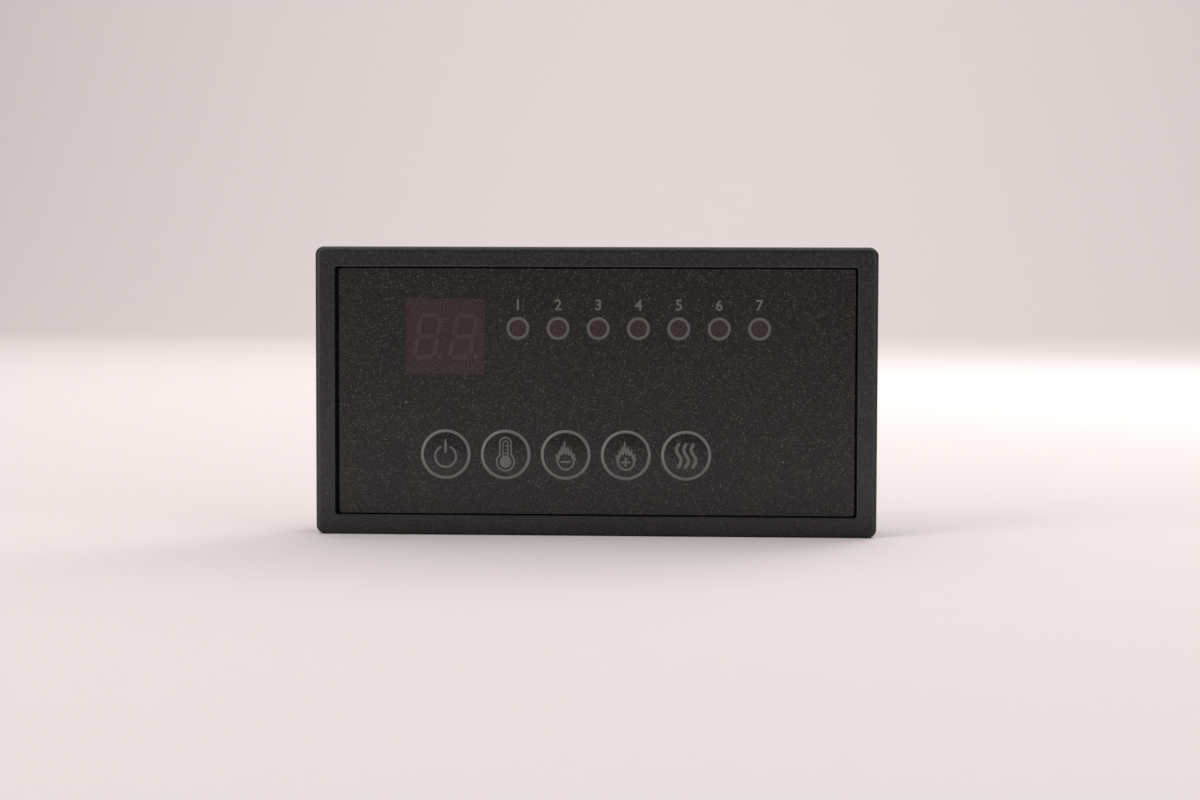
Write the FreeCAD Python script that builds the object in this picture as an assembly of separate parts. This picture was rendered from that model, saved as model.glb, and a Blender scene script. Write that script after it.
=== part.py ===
"""Programmable weekly timer and control panel for an electric heater.

A black moulded bezel snaps into a rectangular hole in a sheet-metal casing. A printed film
lies in the recess of its face, with five embossed keys, a display window and seven day lamps.
A circuit board is screwed to posts behind the face and carries the switches, the two-digit
display, the lamps, the controller and the two headers that the wiring plugs into.

The origin is the centre of the plane where the bezel seats on the panel. +X is to the right as
the user sees it, +Z is up and +Y goes into the casing, so the face looks along -Y.
All sizes are in millimetres.
"""

import FreeCAD, Part

import math
import os

Vector = FreeCAD.Vector
BACK = Vector(0, 1, 0)

# How far a cutting shape runs past the surface it cuts, and how far a joined shape runs into the other
PAST = 1.0
SUNK = 0.1

# Bezel
BEZEL_WIDTH = 112.0
BEZEL_HEIGHT = 57.6
BEZEL_PROUD = 2.4
BEZEL_CORNER = 1.7
BEZEL_EDGE_FILLET = 1.15
BORDER_WIDTH = 4.0
RECESS_DEPTH = 0.8
PLATE_THICKNESS = 1.8
RECESS_CORNER = 0.5
RECESS_EDGE_FILLET = 0.25

# Seat and skirt behind the flange
FLANGE_OVERLAP = 3.2
SEAT_RIM_WIDTH = 1.3
SEAT_RELIEF = 0.3
SKIRT_DEPTH = 15.0
SKIRT_WALL = 1.6
SKIRT_CORNER = 2.0
SKIRT_LEAD_IN = 0.5
LEAST_CORNER = 0.3

# Snap tongues that hold the bezel in the panel
PANEL_THICKNESS = 1.0
PANEL_SLACK = 0.15
TONGUE_WIDTH = 8.0
TONGUE_LENGTH = 9.5
TONGUE_SLOT = 0.8
TONGUE_THICKNESS = 1.2
NOSE_REACH = 1.2
NOSE_FLAT = 0.7
NOSE_RAMP = 5.2
TONGUE_OFFSET_X = 30.0

# Printed film and the adhesive sheet under it
FILM_THICKNESS = 0.25
FILM_GAP_SIDE = 0.65
FILM_GAP_TOP = 0.35
FILM_SHIFT_X = 0.15
FILM_CORNER = 0.6
ADHESIVE_THICKNESS = 0.15
ADHESIVE_MARGIN = 0.4

# Keys
KEY_NAMES = ("power", "temperature", "flame_down", "flame_up", "heat")
KEY_FIRST_X = -29.8
KEY_PITCH = 12.0
KEY_Z = -12.6
KEY_DIAMETER = 10.0
KEY_CREST_INSET = 0.5
KEY_CREST_HEIGHT = 0.25
KEY_DOME_HEIGHT = 0.55
KEY_CLEARANCE = 0.05
KEY_HOLE_MARGIN = 0.2
KEY_TRAVEL = 0.3

# Tactile switches
SWITCH_HEIGHT = 7.5
SWITCH_SIZE = 6.0
SWITCH_BASE_HEIGHT = 3.0
SWITCH_FOOT = 0.1
SWITCH_CORNER = 0.5
SWITCH_CAVITY_DIAMETER = 4.8
SWITCH_FLOOR_SPARE = 0.4
SWITCH_FOOT_DIAMETER = 0.9
COVER_THICKNESS = 0.2
COVER_TAB_LENGTH = 1.4
COVER_TAB_WIDTH = 3.4
STEM_DIAMETER = 3.5
STEM_TIP_CHAMFER = 0.3
STEM_COLLAR_DIAMETER = 4.4
STEM_COLLAR_HEIGHT = 0.5
STEM_HOLE_CLEARANCE = 0.1
STEM_COLLAR_GAP = 0.03
STEM_NUB_DIAMETER = 1.6
STEM_NUB_HEIGHT = 0.15
STEM_TO_KEY_GAP = 0.08
SNAP_DOME_DIAMETER = 4.2
SNAP_DOME_THICKNESS = 0.08
SNAP_DOME_GAP = 0.05
SNAP_DOME_SEAT = 0.2
TERMINAL_SPAN_X = 6.5
TERMINAL_SPAN_Z = 4.5
TERMINAL_WIDTH = 0.7
TERMINAL_THICKNESS = 0.3
TERMINAL_SHOULDER = 1.0

# Circuit board
BOARD_THICKNESS = 1.6
BOARD_GAP_SIDE = 1.2
BOARD_GAP_TOP = 1.5
BOARD_CORNER = 1.0
LEAD_STICK_OUT = 1.4
LEAD_HOLE_DIAMETER = 1.0
PIN_TAPER = 0.2

# Posts and screws that carry the board
POST_DIAMETER = 5.4
POST_INSET_X = 4.0
POST_INSET_Z = 3.1
POST_FILLET = 0.5
SCREW_CORE_DIAMETER = 2.2
SCREW_LENGTH = 6.0
SCREW_HEAD_DIAMETER = 5.0
SCREW_HEAD_HEIGHT = 1.9
SCREW_RECESS_WIDTH = 0.7
SCREW_RECESS_LENGTH = 2.8
SCREW_RECESS_DEPTH = 1.1
SCREW_BOARD_CLEARANCE = 0.4
SCREW_POST_CLEARANCE = 0.03
SCREW_TIP_SPARE = 0.3

# Two-digit display
DISPLAY_X = -29.9
DISPLAY_Z = 10.9
DISPLAY_WIDTH = 16.2
DISPLAY_HEIGHT = 15.7
DISPLAY_DEPTH = 6.8
DISPLAY_EDGE = 0.3
DISPLAY_HOLE_CLEARANCE = 0.2
DIGIT_HEIGHT = 9.14
DIGIT_WIDTH = 4.8
DIGIT_PITCH = 7.2
DIGIT_STROKE = 0.85
DIGIT_SLANT = math.radians(10.0)
SEGMENT_DEPTH = 0.5
SEGMENT_GAP = 0.12
POINT_DIAMETER = 1.0
POINT_OFFSET_X = 3.15
DISPLAY_PIN_PITCH = 2.54
DISPLAY_PIN_ROWS = 12.7
DISPLAY_PINS_PER_ROW = 5
DISPLAY_PIN_WIDTH = 0.5

# Day lamps
LAMP_COUNT = 7
LAMP_FIRST_X = -15.2
LAMP_PITCH = 8.0
LAMP_Z = 12.6
LAMP_DIAMETER = 3.0
LAMP_LENGTH = 5.3
LAMP_FLANGE_DIAMETER = 3.8
LAMP_FLANGE_HEIGHT = 1.0
LAMP_FLAT = 0.35
LAMP_LEAD_SPAN = 2.54
LAMP_LEAD_WIDTH = 0.5
LAMP_HOLE_CLEARANCE = 0.2
LAMP_TO_FILM_GAP = 0.25
LAMP_TUBE_WALL = 0.8
LAMP_TUBE_LENGTH = 2.4

# Parts on the back of the board
SOLDER_STANDOFF = 0.1
CHIP_PITCH = 1.27
CHIP_BODY_WIDTH = 7.5
CHIP_BODY_HEIGHT = 2.25
CHIP_END_MARGIN = 0.7
CHIP_LEAD_WIDTH = 0.42
CHIP_LEAD_THICKNESS = 0.25
CHIP_LEAD_REACH = 1.4
CHIP_LEAD_FOOT = 0.8
CHIP_CHAMFER = 0.3
CHIP_DOT_DIAMETER = 1.2
CHIP_DOT_INSET = 1.3
CHIP_DOT_DEPTH = 0.15
CONTROLLER_LEADS = 28
CONTROLLER_PLACE = (-8.0, -2.2)
DRIVER_LEADS = 20
DRIVER_PLACE = (-33.5, -2.6)
WATCH_CRYSTAL_PLACE = (12.5, 1.5)
WATCH_CRYSTAL_DIAMETER = 2.0
WATCH_CRYSTAL_LENGTH = 6.0
WATCH_CRYSTAL_LEAD = 1.6
WATCH_CRYSTAL_WIRE = 0.2
WATCH_CRYSTAL_SPAN = 1.0
WATCH_CRYSTAL_FILLET = 0.3
CLOCK_CRYSTAL_LENGTH = 11.0
CLOCK_CRYSTAL_WIDTH = 4.6
CLOCK_CRYSTAL_HEIGHT = 3.4
CLOCK_CRYSTAL_RIM = 0.4
CLOCK_CRYSTAL_FILLET = 0.35
CAN_DIAMETER = 6.3
CAN_HEIGHT = 5.4
CAN_BASE_SIZE = 6.6
CAN_BASE_HEIGHT = 1.1
CAN_GROOVE_DEPTH = 0.25
CAN_GROOVE_UP = 0.7
CAN_SHOULDER = 0.4
CAN_BASE_CUT = 1.3
BUZZER_DIAMETER = 9.5
BUZZER_HEIGHT = 5.2
BUZZER_FILLET = 0.5
BUZZER_SOUND_HOLE = 1.8
BUZZER_HOLE_DEPTH = 1.5
HEADER_PITCH = 2.5
HEADER_END = 2.45
HEADER_DEPTH = 5.75
HEADER_HEIGHT = 7.0
HEADER_WALL = 0.8
HEADER_FLOOR = 1.6
HEADER_KEY_SLOT = 1.2
HEADER_KEY_SILL = 1.5
HEADER_PIN_WIDTH = 0.64
HEADER_PIN_LENGTH = 3.9
HARNESS_WAYS = 5
SENSOR_WAYS = 2
HEADER_INSET_X = 5.5
CHIP_RESISTOR = (2.0, 0.5, 1.25)
CHIP_CAPACITOR = (2.0, 0.85, 1.25)
TRANSISTOR = (2.9, 1.0, 1.3)
TRANSISTOR_LEG = (0.4, 0.25, 0.55)
TRANSISTOR_PITCH = 0.95

# Depths worked out from the sizes above, measured from the seat plane along +Y
SEAT_Y = 0.0
FACE_Y = SEAT_Y - BEZEL_PROUD
RECESS_Y = FACE_Y + RECESS_DEPTH
FILM_BACK_Y = RECESS_Y - ADHESIVE_THICKNESS
FILM_FRONT_Y = FILM_BACK_Y - FILM_THICKNESS
PLATE_BACK_Y = RECESS_Y + PLATE_THICKNESS
KEY_TOP_Y = FILM_FRONT_Y - KEY_DOME_HEIGHT
STEM_TOP_Y = KEY_TOP_Y + FILM_THICKNESS + STEM_TO_KEY_GAP
BOARD_FRONT_Y = STEM_TOP_Y + SWITCH_HEIGHT
BOARD_BACK_Y = BOARD_FRONT_Y + BOARD_THICKNESS
LEAD_END_Y = BOARD_BACK_Y + LEAD_STICK_OUT
SWITCH_BASE_Y = BOARD_FRONT_Y - SWITCH_FOOT - SWITCH_BASE_HEIGHT
COLLAR_Y = SWITCH_BASE_Y + STEM_COLLAR_GAP
NUB_END_Y = COLLAR_Y + STEM_COLLAR_HEIGHT + STEM_NUB_HEIGHT
SWITCH_FLOOR_Y = NUB_END_Y + KEY_TRAVEL + SWITCH_FLOOR_SPARE
LAMP_TIP_Y = FILM_BACK_Y + LAMP_TO_FILM_GAP
LAMP_BASE_Y = LAMP_TIP_Y + LAMP_LENGTH

# Widths and heights worked out in the plane of the face
RECESS_WIDTH = BEZEL_WIDTH - 2 * BORDER_WIDTH
RECESS_HEIGHT = BEZEL_HEIGHT - 2 * BORDER_WIDTH
FILM_WIDTH = RECESS_WIDTH - 2 * FILM_GAP_SIDE
FILM_HEIGHT = RECESS_HEIGHT - 2 * FILM_GAP_TOP
SKIRT_WIDTH = BEZEL_WIDTH - 2 * FLANGE_OVERLAP
SKIRT_HEIGHT = BEZEL_HEIGHT - 2 * FLANGE_OVERLAP
INNER_WIDTH = SKIRT_WIDTH - 2 * SKIRT_WALL
INNER_HEIGHT = SKIRT_HEIGHT - 2 * SKIRT_WALL
BOARD_WIDTH = INNER_WIDTH - 2 * BOARD_GAP_SIDE
BOARD_HEIGHT = INNER_HEIGHT - 2 * BOARD_GAP_TOP
POST_X = BOARD_WIDTH / 2 - POST_INSET_X
POST_Z = BOARD_HEIGHT / 2 - POST_INSET_Z
HEADER_X = BOARD_WIDTH / 2 - HEADER_INSET_X
HARNESS_PLACE = (HEADER_X, -3.0)
SENSOR_PLACE = (HEADER_X, 11.5)
BUZZER_PLACE = (HEADER_X - 13.4, -14.6)
CAN_PLACES = ((HEADER_X - 14.6, -3.6), (HEADER_X - 7.6, -3.6))
CLOCK_CRYSTAL_PLACE = (HEADER_X - 12.8, 4.4)

KEY_PLACES = {name: (KEY_FIRST_X + i * KEY_PITCH, KEY_Z) for i, name in enumerate(KEY_NAMES)}
LAMP_PLACES = [(LAMP_FIRST_X + i * LAMP_PITCH, LAMP_Z) for i in range(LAMP_COUNT)]
POST_PLACES = [(x, z) for x in (-POST_X, 0.0, POST_X) for z in (-POST_Z, POST_Z)]
TERMINAL_OFFSETS = [
    (sx * TERMINAL_SPAN_X / 2, sz * TERMINAL_SPAN_Z / 2) for sx in (-1, 1) for sz in (-1, 1)
]
DISPLAY_PIN_FIRST_X = DISPLAY_X - (DISPLAY_PINS_PER_ROW - 1) / 2 * DISPLAY_PIN_PITCH
DISPLAY_PIN_PLACES = [
    (DISPLAY_PIN_FIRST_X + i * DISPLAY_PIN_PITCH, DISPLAY_Z + side * DISPLAY_PIN_ROWS / 2)
    for i in range(DISPLAY_PINS_PER_ROW)
    for side in (-1, 1)
]


# Shapes that several pieces share


def block(x0, x1, y0, y1, z0, z1):
    """A box between two corners."""
    return Part.makeBox(x1 - x0, y1 - y0, z1 - z0, Vector(x0, y0, z0))


def centred_block(x, z, width, height, y0, y1):
    """A box centred on (x, z), from depth y0 to y1."""
    return block(x - width / 2, x + width / 2, y0, y1, z - height / 2, z + height / 2)


def disc(x, z, diameter, y0, y1):
    """A cylinder along Y, from depth y0 to y1."""
    return Part.makeCylinder(diameter / 2, y1 - y0, Vector(x, y0, z), BACK)


def rounded_plate(width, height, corner, y0, y1, x=0.0, z=0.0):
    """A plate from depth y0 to y1 whose outline has round corners."""
    plate = centred_block(x, z, width, height, y0, y1)
    uprights = [e for e in plate.Edges if abs(e.Vertexes[0].Y - e.Vertexes[1].Y) > 1e-6]
    return plate.makeFillet(corner, uprights)


def oval(x, z, length, width, y0, y1):
    """A plate with two straight sides and two half-round ends, along X."""
    middle = centred_block(x, z, length - width, width, y0, y1)
    ends = [disc(x + side * (length - width) / 2, z, width, y0, y1) for side in (-1, 1)]
    return middle.fuse(ends).removeSplitter()


def prism(points, y0, y1):
    """The polygon through (x, z) points, from depth y0 to y1."""
    corners = [Vector(x, y0, z) for x, z in points]
    face = Part.Face(Part.makePolygon(corners + corners[:1]))
    return face.extrude(Vector(0, y1 - y0, 0))


def edges_at_depth(shape, y, inside=None, outside=None):
    """Edges that lie wholly at depth y, kept if every point is inside or outside a half width and height."""
    found = []
    for edge in shape.Edges:
        box = edge.BoundBox
        if abs(box.YMin - y) > 1e-4 or abs(box.YMax - y) > 1e-4:
            continue
        reach_x = max(abs(box.XMin), abs(box.XMax))
        reach_z = max(abs(box.ZMin), abs(box.ZMax))
        if inside and (reach_x > inside[0] + 1e-3 or reach_z > inside[1] + 1e-3):
            continue
        if outside and not (reach_x >= outside[0] - 1e-3 or reach_z >= outside[1] - 1e-3):
            continue
        found.append(edge)
    return found


def turned(profile, x, z):
    """The solid of a closed (radius, y) profile turned about the line along Y through (x, z)."""
    wire = Part.Wire(profile)
    solid = Part.Face(wire).revolve(Vector(0, 0, 0), BACK, 360)
    return solid.translated(Vector(x, 0, z))


def line(a, b):
    """An edge between two (radius, y) points."""
    return Part.makeLine(Vector(a[0], a[1], 0), Vector(b[0], b[1], 0))


def arc(a, b, c):
    """An arc through three (radius, y) points."""
    return Part.Arc(*[Vector(p[0], p[1], 0) for p in (a, b, c)]).toShape()


def sphere_mid(rim, top):
    """The point halfway along a spherical cap from its rim (radius, y) to its top on the axis."""
    rise = abs(top[1] - rim[1])
    sphere = (rim[0] ** 2 + rise**2) / (2 * rise)
    half = rim[0] / 2
    drop = sphere - math.sqrt(sphere**2 - half**2)
    return half, top[1] + drop * (1 if rim[1] > top[1] else -1)


def square_pin(x, z, width, y0, y1):
    """A square pin along Y with a tapered end at depth y1."""
    pin = centred_block(x, z, width, width, y0, y1)
    return pin.makeChamfer(PIN_TAPER * width, edges_of_box_at(pin, y1))


def edges_of_box_at(shape, y):
    """The edges of a plain box that lie at depth y."""
    return [e for e in shape.Edges if abs(e.BoundBox.YMin - y) < 1e-4 and abs(e.BoundBox.YMax - y) < 1e-4]


# The bezel and what is bonded to it


def skirt():
    """The wall behind the flange that passes through the hole in the panel."""
    outer = rounded_plate(SKIRT_WIDTH, SKIRT_HEIGHT, SKIRT_CORNER, SEAT_Y - SEAT_RELIEF, SKIRT_DEPTH)
    lead_in = edges_at_depth(outer, SKIRT_DEPTH)
    outer = outer.makeChamfer(SKIRT_LEAD_IN, lead_in)
    inner_corner = max(SKIRT_CORNER - SKIRT_WALL, LEAST_CORNER)
    inner = rounded_plate(INNER_WIDTH, INNER_HEIGHT, inner_corner, PLATE_BACK_Y, SKIRT_DEPTH + PAST)
    return outer.cut(inner)


def tongue_pieces(half_span):
    """The slot and the tongue of a snap on the +Z side of a skirt that reaches half_span."""
    catch_y = SEAT_Y + PANEL_THICKNESS + PANEL_SLACK
    root_y = catch_y + TONGUE_LENGTH
    half = TONGUE_WIDTH / 2
    inner = half_span - SKIRT_WALL
    side_x = half + TONGUE_SLOT
    slot = block(-side_x, side_x, PLATE_BACK_Y, root_y, inner - SUNK, half_span + SUNK)
    side = [
        (half_span - TONGUE_THICKNESS, catch_y),
        (half_span + NOSE_REACH, catch_y),
        (half_span + NOSE_REACH, catch_y + NOSE_FLAT),
        (half_span, catch_y + NOSE_FLAT + NOSE_RAMP),
        (half_span, root_y),
        (half_span - TONGUE_THICKNESS, root_y),
    ]
    corners = [Vector(-half, y, z) for z, y in side]
    tongue = Part.Face(Part.makePolygon(corners + corners[:1])).extrude(Vector(TONGUE_WIDTH, 0, 0))
    return slot, tongue


def add_tongues(body):
    """Cuts the six snap tongues out of the skirt and gives each its nose."""
    sides = [(0, SKIRT_HEIGHT / 2, TONGUE_OFFSET_X), (0, SKIRT_HEIGHT / 2, -TONGUE_OFFSET_X)]
    sides += [(180, SKIRT_HEIGHT / 2, TONGUE_OFFSET_X), (180, SKIRT_HEIGHT / 2, -TONGUE_OFFSET_X)]
    sides += [(90, SKIRT_WIDTH / 2, 0.0), (270, SKIRT_WIDTH / 2, 0.0)]
    for turn, half_span, along in sides:
        slot, tongue = tongue_pieces(half_span)
        for piece in (slot, tongue):
            piece.translate(Vector(along, 0, 0))
            piece.rotate(Vector(0, 0, 0), BACK, turn)
        body = body.cut(slot).fuse(tongue)
    return body


def front_bezel():
    """The moulding: framed face, recess, seat rim, skirt, snap tongues, lamp tubes and board posts."""
    body = rounded_plate(BEZEL_WIDTH, BEZEL_HEIGHT, BEZEL_CORNER, FACE_Y, SEAT_Y)
    body = body.makeFillet(BEZEL_EDGE_FILLET, edges_at_depth(body, FACE_Y))
    recess = rounded_plate(RECESS_WIDTH, RECESS_HEIGHT, RECESS_CORNER, FACE_Y - PAST, RECESS_Y)
    body = body.cut(recess)
    rim = edges_at_depth(body, FACE_Y, inside=(RECESS_WIDTH / 2, RECESS_HEIGHT / 2))
    body = body.makeFillet(RECESS_EDGE_FILLET, rim)

    relief_width = BEZEL_WIDTH - 2 * SEAT_RIM_WIDTH
    relief_height = BEZEL_HEIGHT - 2 * SEAT_RIM_WIDTH
    relief_corner = max(BEZEL_CORNER - SEAT_RIM_WIDTH, LEAST_CORNER)
    relief = rounded_plate(relief_width, relief_height, relief_corner, SEAT_Y - SEAT_RELIEF, SEAT_Y + PAST)
    kept = rounded_plate(SKIRT_WIDTH, SKIRT_HEIGHT, SKIRT_CORNER, SEAT_Y - SEAT_RELIEF, SEAT_Y + PAST)
    body = body.cut(relief.cut(kept))
    body = body.fuse(skirt())
    body = add_tongues(body)

    for x, z in LAMP_PLACES:
        tube = LAMP_DIAMETER + 2 * (LAMP_HOLE_CLEARANCE + LAMP_TUBE_WALL)
        body = body.fuse(disc(x, z, tube, PLATE_BACK_Y - SUNK, LAMP_TUBE_LENGTH))
    for x, z in POST_PLACES:
        body = body.fuse(board_post(x, z))
    for x, z in LAMP_PLACES:
        hole = LAMP_DIAMETER + 2 * LAMP_HOLE_CLEARANCE
        body = body.cut(disc(x, z, hole, RECESS_Y - PAST, LAMP_TUBE_LENGTH + PAST))
    for x, z in KEY_PLACES.values():
        hole = KEY_DIAMETER + 2 * KEY_HOLE_MARGIN
        body = body.cut(disc(x, z, hole, RECESS_Y - PAST, PLATE_BACK_Y + PAST))
    width = DISPLAY_WIDTH + 2 * DISPLAY_HOLE_CLEARANCE
    height = DISPLAY_HEIGHT + 2 * DISPLAY_HOLE_CLEARANCE
    body = body.cut(centred_block(DISPLAY_X, DISPLAY_Z, width, height, RECESS_Y - PAST, PLATE_BACK_Y + PAST))
    return body.removeSplitter()


def board_post(x, z):
    """A post from the plate to the board, with a flared foot and a pilot hole for its screw."""
    post = disc(x, z, POST_DIAMETER, PLATE_BACK_Y, BOARD_FRONT_Y)
    radius = POST_DIAMETER / 2
    flare = [
        line((0, PLATE_BACK_Y - SUNK), (radius + POST_FILLET, PLATE_BACK_Y - SUNK)),
        line((radius + POST_FILLET, PLATE_BACK_Y - SUNK), (radius + POST_FILLET, PLATE_BACK_Y)),
        line((radius + POST_FILLET, PLATE_BACK_Y), (radius, PLATE_BACK_Y + POST_FILLET)),
        line((radius, PLATE_BACK_Y + POST_FILLET), (0, PLATE_BACK_Y + POST_FILLET)),
        line((0, PLATE_BACK_Y + POST_FILLET), (0, PLATE_BACK_Y - SUNK)),
    ]
    post = post.fuse(turned(flare, x, z))
    pilot = SCREW_CORE_DIAMETER + 2 * SCREW_POST_CLEARANCE
    depth = SCREW_LENGTH - BOARD_THICKNESS + SCREW_TIP_SPARE
    return post.cut(disc(x, z, pilot, BOARD_FRONT_Y - depth, BOARD_FRONT_Y + PAST))


def overlay_film():
    """The printed sheet, with a round hole where each embossed key is a piece of its own."""
    film = rounded_plate(FILM_WIDTH, FILM_HEIGHT, FILM_CORNER, FILM_FRONT_Y, FILM_BACK_Y, x=FILM_SHIFT_X)
    for x, z in KEY_PLACES.values():
        film = film.cut(disc(x, z, KEY_DIAMETER + 2 * KEY_CLEARANCE, FILM_FRONT_Y - PAST, FILM_BACK_Y + PAST))
    return film


def overlay_adhesive():
    """The double-sided sheet between film and recess, open at the keys, the lamps and the display."""
    width = FILM_WIDTH - 2 * ADHESIVE_MARGIN
    height = FILM_HEIGHT - 2 * ADHESIVE_MARGIN
    sheet = rounded_plate(width, height, FILM_CORNER, FILM_BACK_Y, RECESS_Y, x=FILM_SHIFT_X)
    for x, z in KEY_PLACES.values():
        sheet = sheet.cut(disc(x, z, KEY_DIAMETER + 2 * KEY_HOLE_MARGIN, FILM_BACK_Y - PAST, RECESS_Y + PAST))
    for x, z in LAMP_PLACES:
        hole = LAMP_DIAMETER + 4 * LAMP_HOLE_CLEARANCE
        sheet = sheet.cut(disc(x, z, hole, FILM_BACK_Y - PAST, RECESS_Y + PAST))
    width = DISPLAY_WIDTH + 2 * DISPLAY_HOLE_CLEARANCE
    height = DISPLAY_HEIGHT + 2 * DISPLAY_HOLE_CLEARANCE
    return sheet.cut(centred_block(DISPLAY_X, DISPLAY_Z, width, height, FILM_BACK_Y - PAST, RECESS_Y + PAST))


def key_dome(x, z):
    """One embossed key: a steep ring at its edge and a shallow dome inside it, as thick as the film."""
    edge = KEY_DIAMETER / 2
    crest = (edge - KEY_CREST_INSET, FILM_FRONT_Y - KEY_CREST_HEIGHT)
    top = (0.0, KEY_TOP_Y)
    under_edge = edge - FILM_THICKNESS
    under_crest = (crest[0] - FILM_THICKNESS * 0.6, crest[1] + FILM_THICKNESS)
    under_top = (0.0, KEY_TOP_Y + FILM_THICKNESS)
    profile = [
        line((edge, FILM_BACK_Y), (edge, FILM_FRONT_Y)),
        line((edge, FILM_FRONT_Y), crest),
        arc(crest, sphere_mid(crest, top), top),
        line(top, under_top),
        arc(under_top, sphere_mid(under_crest, under_top), under_crest),
        line(under_crest, (under_edge, FILM_BACK_Y)),
        line((under_edge, FILM_BACK_Y), (edge, FILM_BACK_Y)),
    ]
    return turned(profile, x, z)


# Tactile switches

def switch_base(x, z):
    """The square body, with the round chamber for the snap dome and feet that stand on the board."""
    base = rounded_plate(
        SWITCH_SIZE, SWITCH_SIZE, SWITCH_CORNER, SWITCH_BASE_Y, BOARD_FRONT_Y - SWITCH_FOOT, x=x, z=z
    )
    base = base.cut(disc(x, z, SWITCH_CAVITY_DIAMETER, SWITCH_BASE_Y - PAST, SWITCH_FLOOR_Y))
    foot_y = BOARD_FRONT_Y - 2 * SWITCH_FOOT
    for foot_z in (z - SWITCH_SIZE / 4, z + SWITCH_SIZE / 4):
        base = base.fuse(disc(x, foot_z, SWITCH_FOOT_DIAMETER, foot_y, BOARD_FRONT_Y))
    return base


def switch_cover(x, z):
    """The stamped steel frame on top of the body, with two tabs folded down its sides."""
    top_y = SWITCH_BASE_Y - COVER_THICKNESS
    cover = rounded_plate(SWITCH_SIZE, SWITCH_SIZE, SWITCH_CORNER, top_y, SWITCH_BASE_Y, x=x, z=z)
    for side in (-1, 1):
        near = x + side * SWITCH_SIZE / 2
        far = near + side * COVER_THICKNESS
        low, high = min(near, far), max(near, far)
        end_y = top_y + COVER_TAB_LENGTH
        cover = cover.fuse(block(low, high, top_y, end_y, z - COVER_TAB_WIDTH / 2, z + COVER_TAB_WIDTH / 2))
    return cover.cut(disc(x, z, STEM_DIAMETER + 2 * STEM_HOLE_CLEARANCE, top_y - PAST, SWITCH_BASE_Y + PAST))


def switch_stem(x, z):
    """The plunger: a round stem, a collar that the cover keeps in, and a nub over the snap dome."""
    stem = disc(x, z, STEM_DIAMETER, STEM_TOP_Y, COLLAR_Y)
    stem = stem.makeChamfer(STEM_TIP_CHAMFER, edges_of_box_at(stem, STEM_TOP_Y))
    collar = disc(x, z, STEM_COLLAR_DIAMETER, COLLAR_Y, COLLAR_Y + STEM_COLLAR_HEIGHT)
    nub = disc(x, z, STEM_NUB_DIAMETER, COLLAR_Y, NUB_END_Y)
    return stem.fuse(collar).fuse(nub).removeSplitter()


def snap_dome(x, z):
    """The thin sprung disc that clicks and closes the contacts when the stem presses it."""
    radius = SNAP_DOME_DIAMETER / 2
    top = (0.0, NUB_END_Y + SNAP_DOME_GAP)
    under_top = (0.0, top[1] + SNAP_DOME_THICKNESS)
    rim_top = (radius, SWITCH_FLOOR_Y - SNAP_DOME_THICKNESS)
    rim_under = (radius, SWITCH_FLOOR_Y)
    inner_rim = (radius - SNAP_DOME_SEAT, SWITCH_FLOOR_Y)
    profile = [
        arc(rim_top, sphere_mid(rim_top, top), top),
        line(top, under_top),
        arc(under_top, sphere_mid(inner_rim, under_top), inner_rim),
        line(inner_rim, rim_under),
        line(rim_under, rim_top),
    ]
    return turned(profile, x, z)


def switch_terminals(x, z):
    """The four legs of one switch: out of its side, down it and through the board."""
    legs = []
    for dx, dz in TERMINAL_OFFSETS:
        side = math.copysign(1, dx)
        near = x + side * SWITCH_SIZE / 2
        far = near + side * TERMINAL_THICKNESS
        low, high = min(near, far), max(near, far)
        start_y = BOARD_FRONT_Y - TERMINAL_SHOULDER
        z0, z1 = z + dz - TERMINAL_WIDTH / 2, z + dz + TERMINAL_WIDTH / 2
        leg = block(low, high, start_y, LEAD_END_Y, z0, z1)
        legs.append(leg)
    return legs


# Display, lamps and board


def segment_outlines():
    """The (x, z) corners of each bar of one digit about its centre, before it is slanted."""
    s = DIGIT_STROKE / 2
    right = DIGIT_WIDTH / 2 - s
    top = DIGIT_HEIGHT / 2 - s
    bars = []
    for z in (-top, 0.0, top):
        a, b = -right + SEGMENT_GAP, right - SEGMENT_GAP
        bars.append([(a, z), (a + s, z + s), (b - s, z + s), (b, z), (b - s, z - s), (a + s, z - s)])
    for x in (-right, right):
        for low, high in ((-top, 0.0), (0.0, top)):
            a, b = low + SEGMENT_GAP, high - SEGMENT_GAP
            bars.append([(x, a), (x - s, a + s), (x - s, b - s), (x, b), (x + s, b - s), (x + s, a + s)])
    return bars


def display_segments():
    """The fourteen slanted bars and two points that light up, each a solid let into the case's face."""
    face_y = BOARD_FRONT_Y - DISPLAY_DEPTH
    lean = math.tan(DIGIT_SLANT)
    solids = []
    for side in (-1, 1):
        centre = DISPLAY_X + side * DIGIT_PITCH / 2
        for bar in segment_outlines():
            points = [(centre + x + z * lean, DISPLAY_Z + z) for x, z in bar]
            solids.append(prism(points, face_y, face_y + SEGMENT_DEPTH))
        low = -(DIGIT_HEIGHT - POINT_DIAMETER) / 2
        point_x = centre + POINT_OFFSET_X + low * lean
        solids.append(disc(point_x, DISPLAY_Z + low, POINT_DIAMETER, face_y, face_y + SEGMENT_DEPTH))
    return solids


def display_case():
    """The display's body, with pockets for the bars in its face."""
    case = centred_block(
        DISPLAY_X, DISPLAY_Z, DISPLAY_WIDTH, DISPLAY_HEIGHT, BOARD_FRONT_Y - DISPLAY_DEPTH, BOARD_FRONT_Y
    )
    uprights = [e for e in case.Edges if abs(e.Vertexes[0].Y - e.Vertexes[1].Y) > 1e-6]
    case = case.makeChamfer(DISPLAY_EDGE, uprights)
    for bar in display_segments():
        case = case.cut(bar)
    return case


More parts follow.
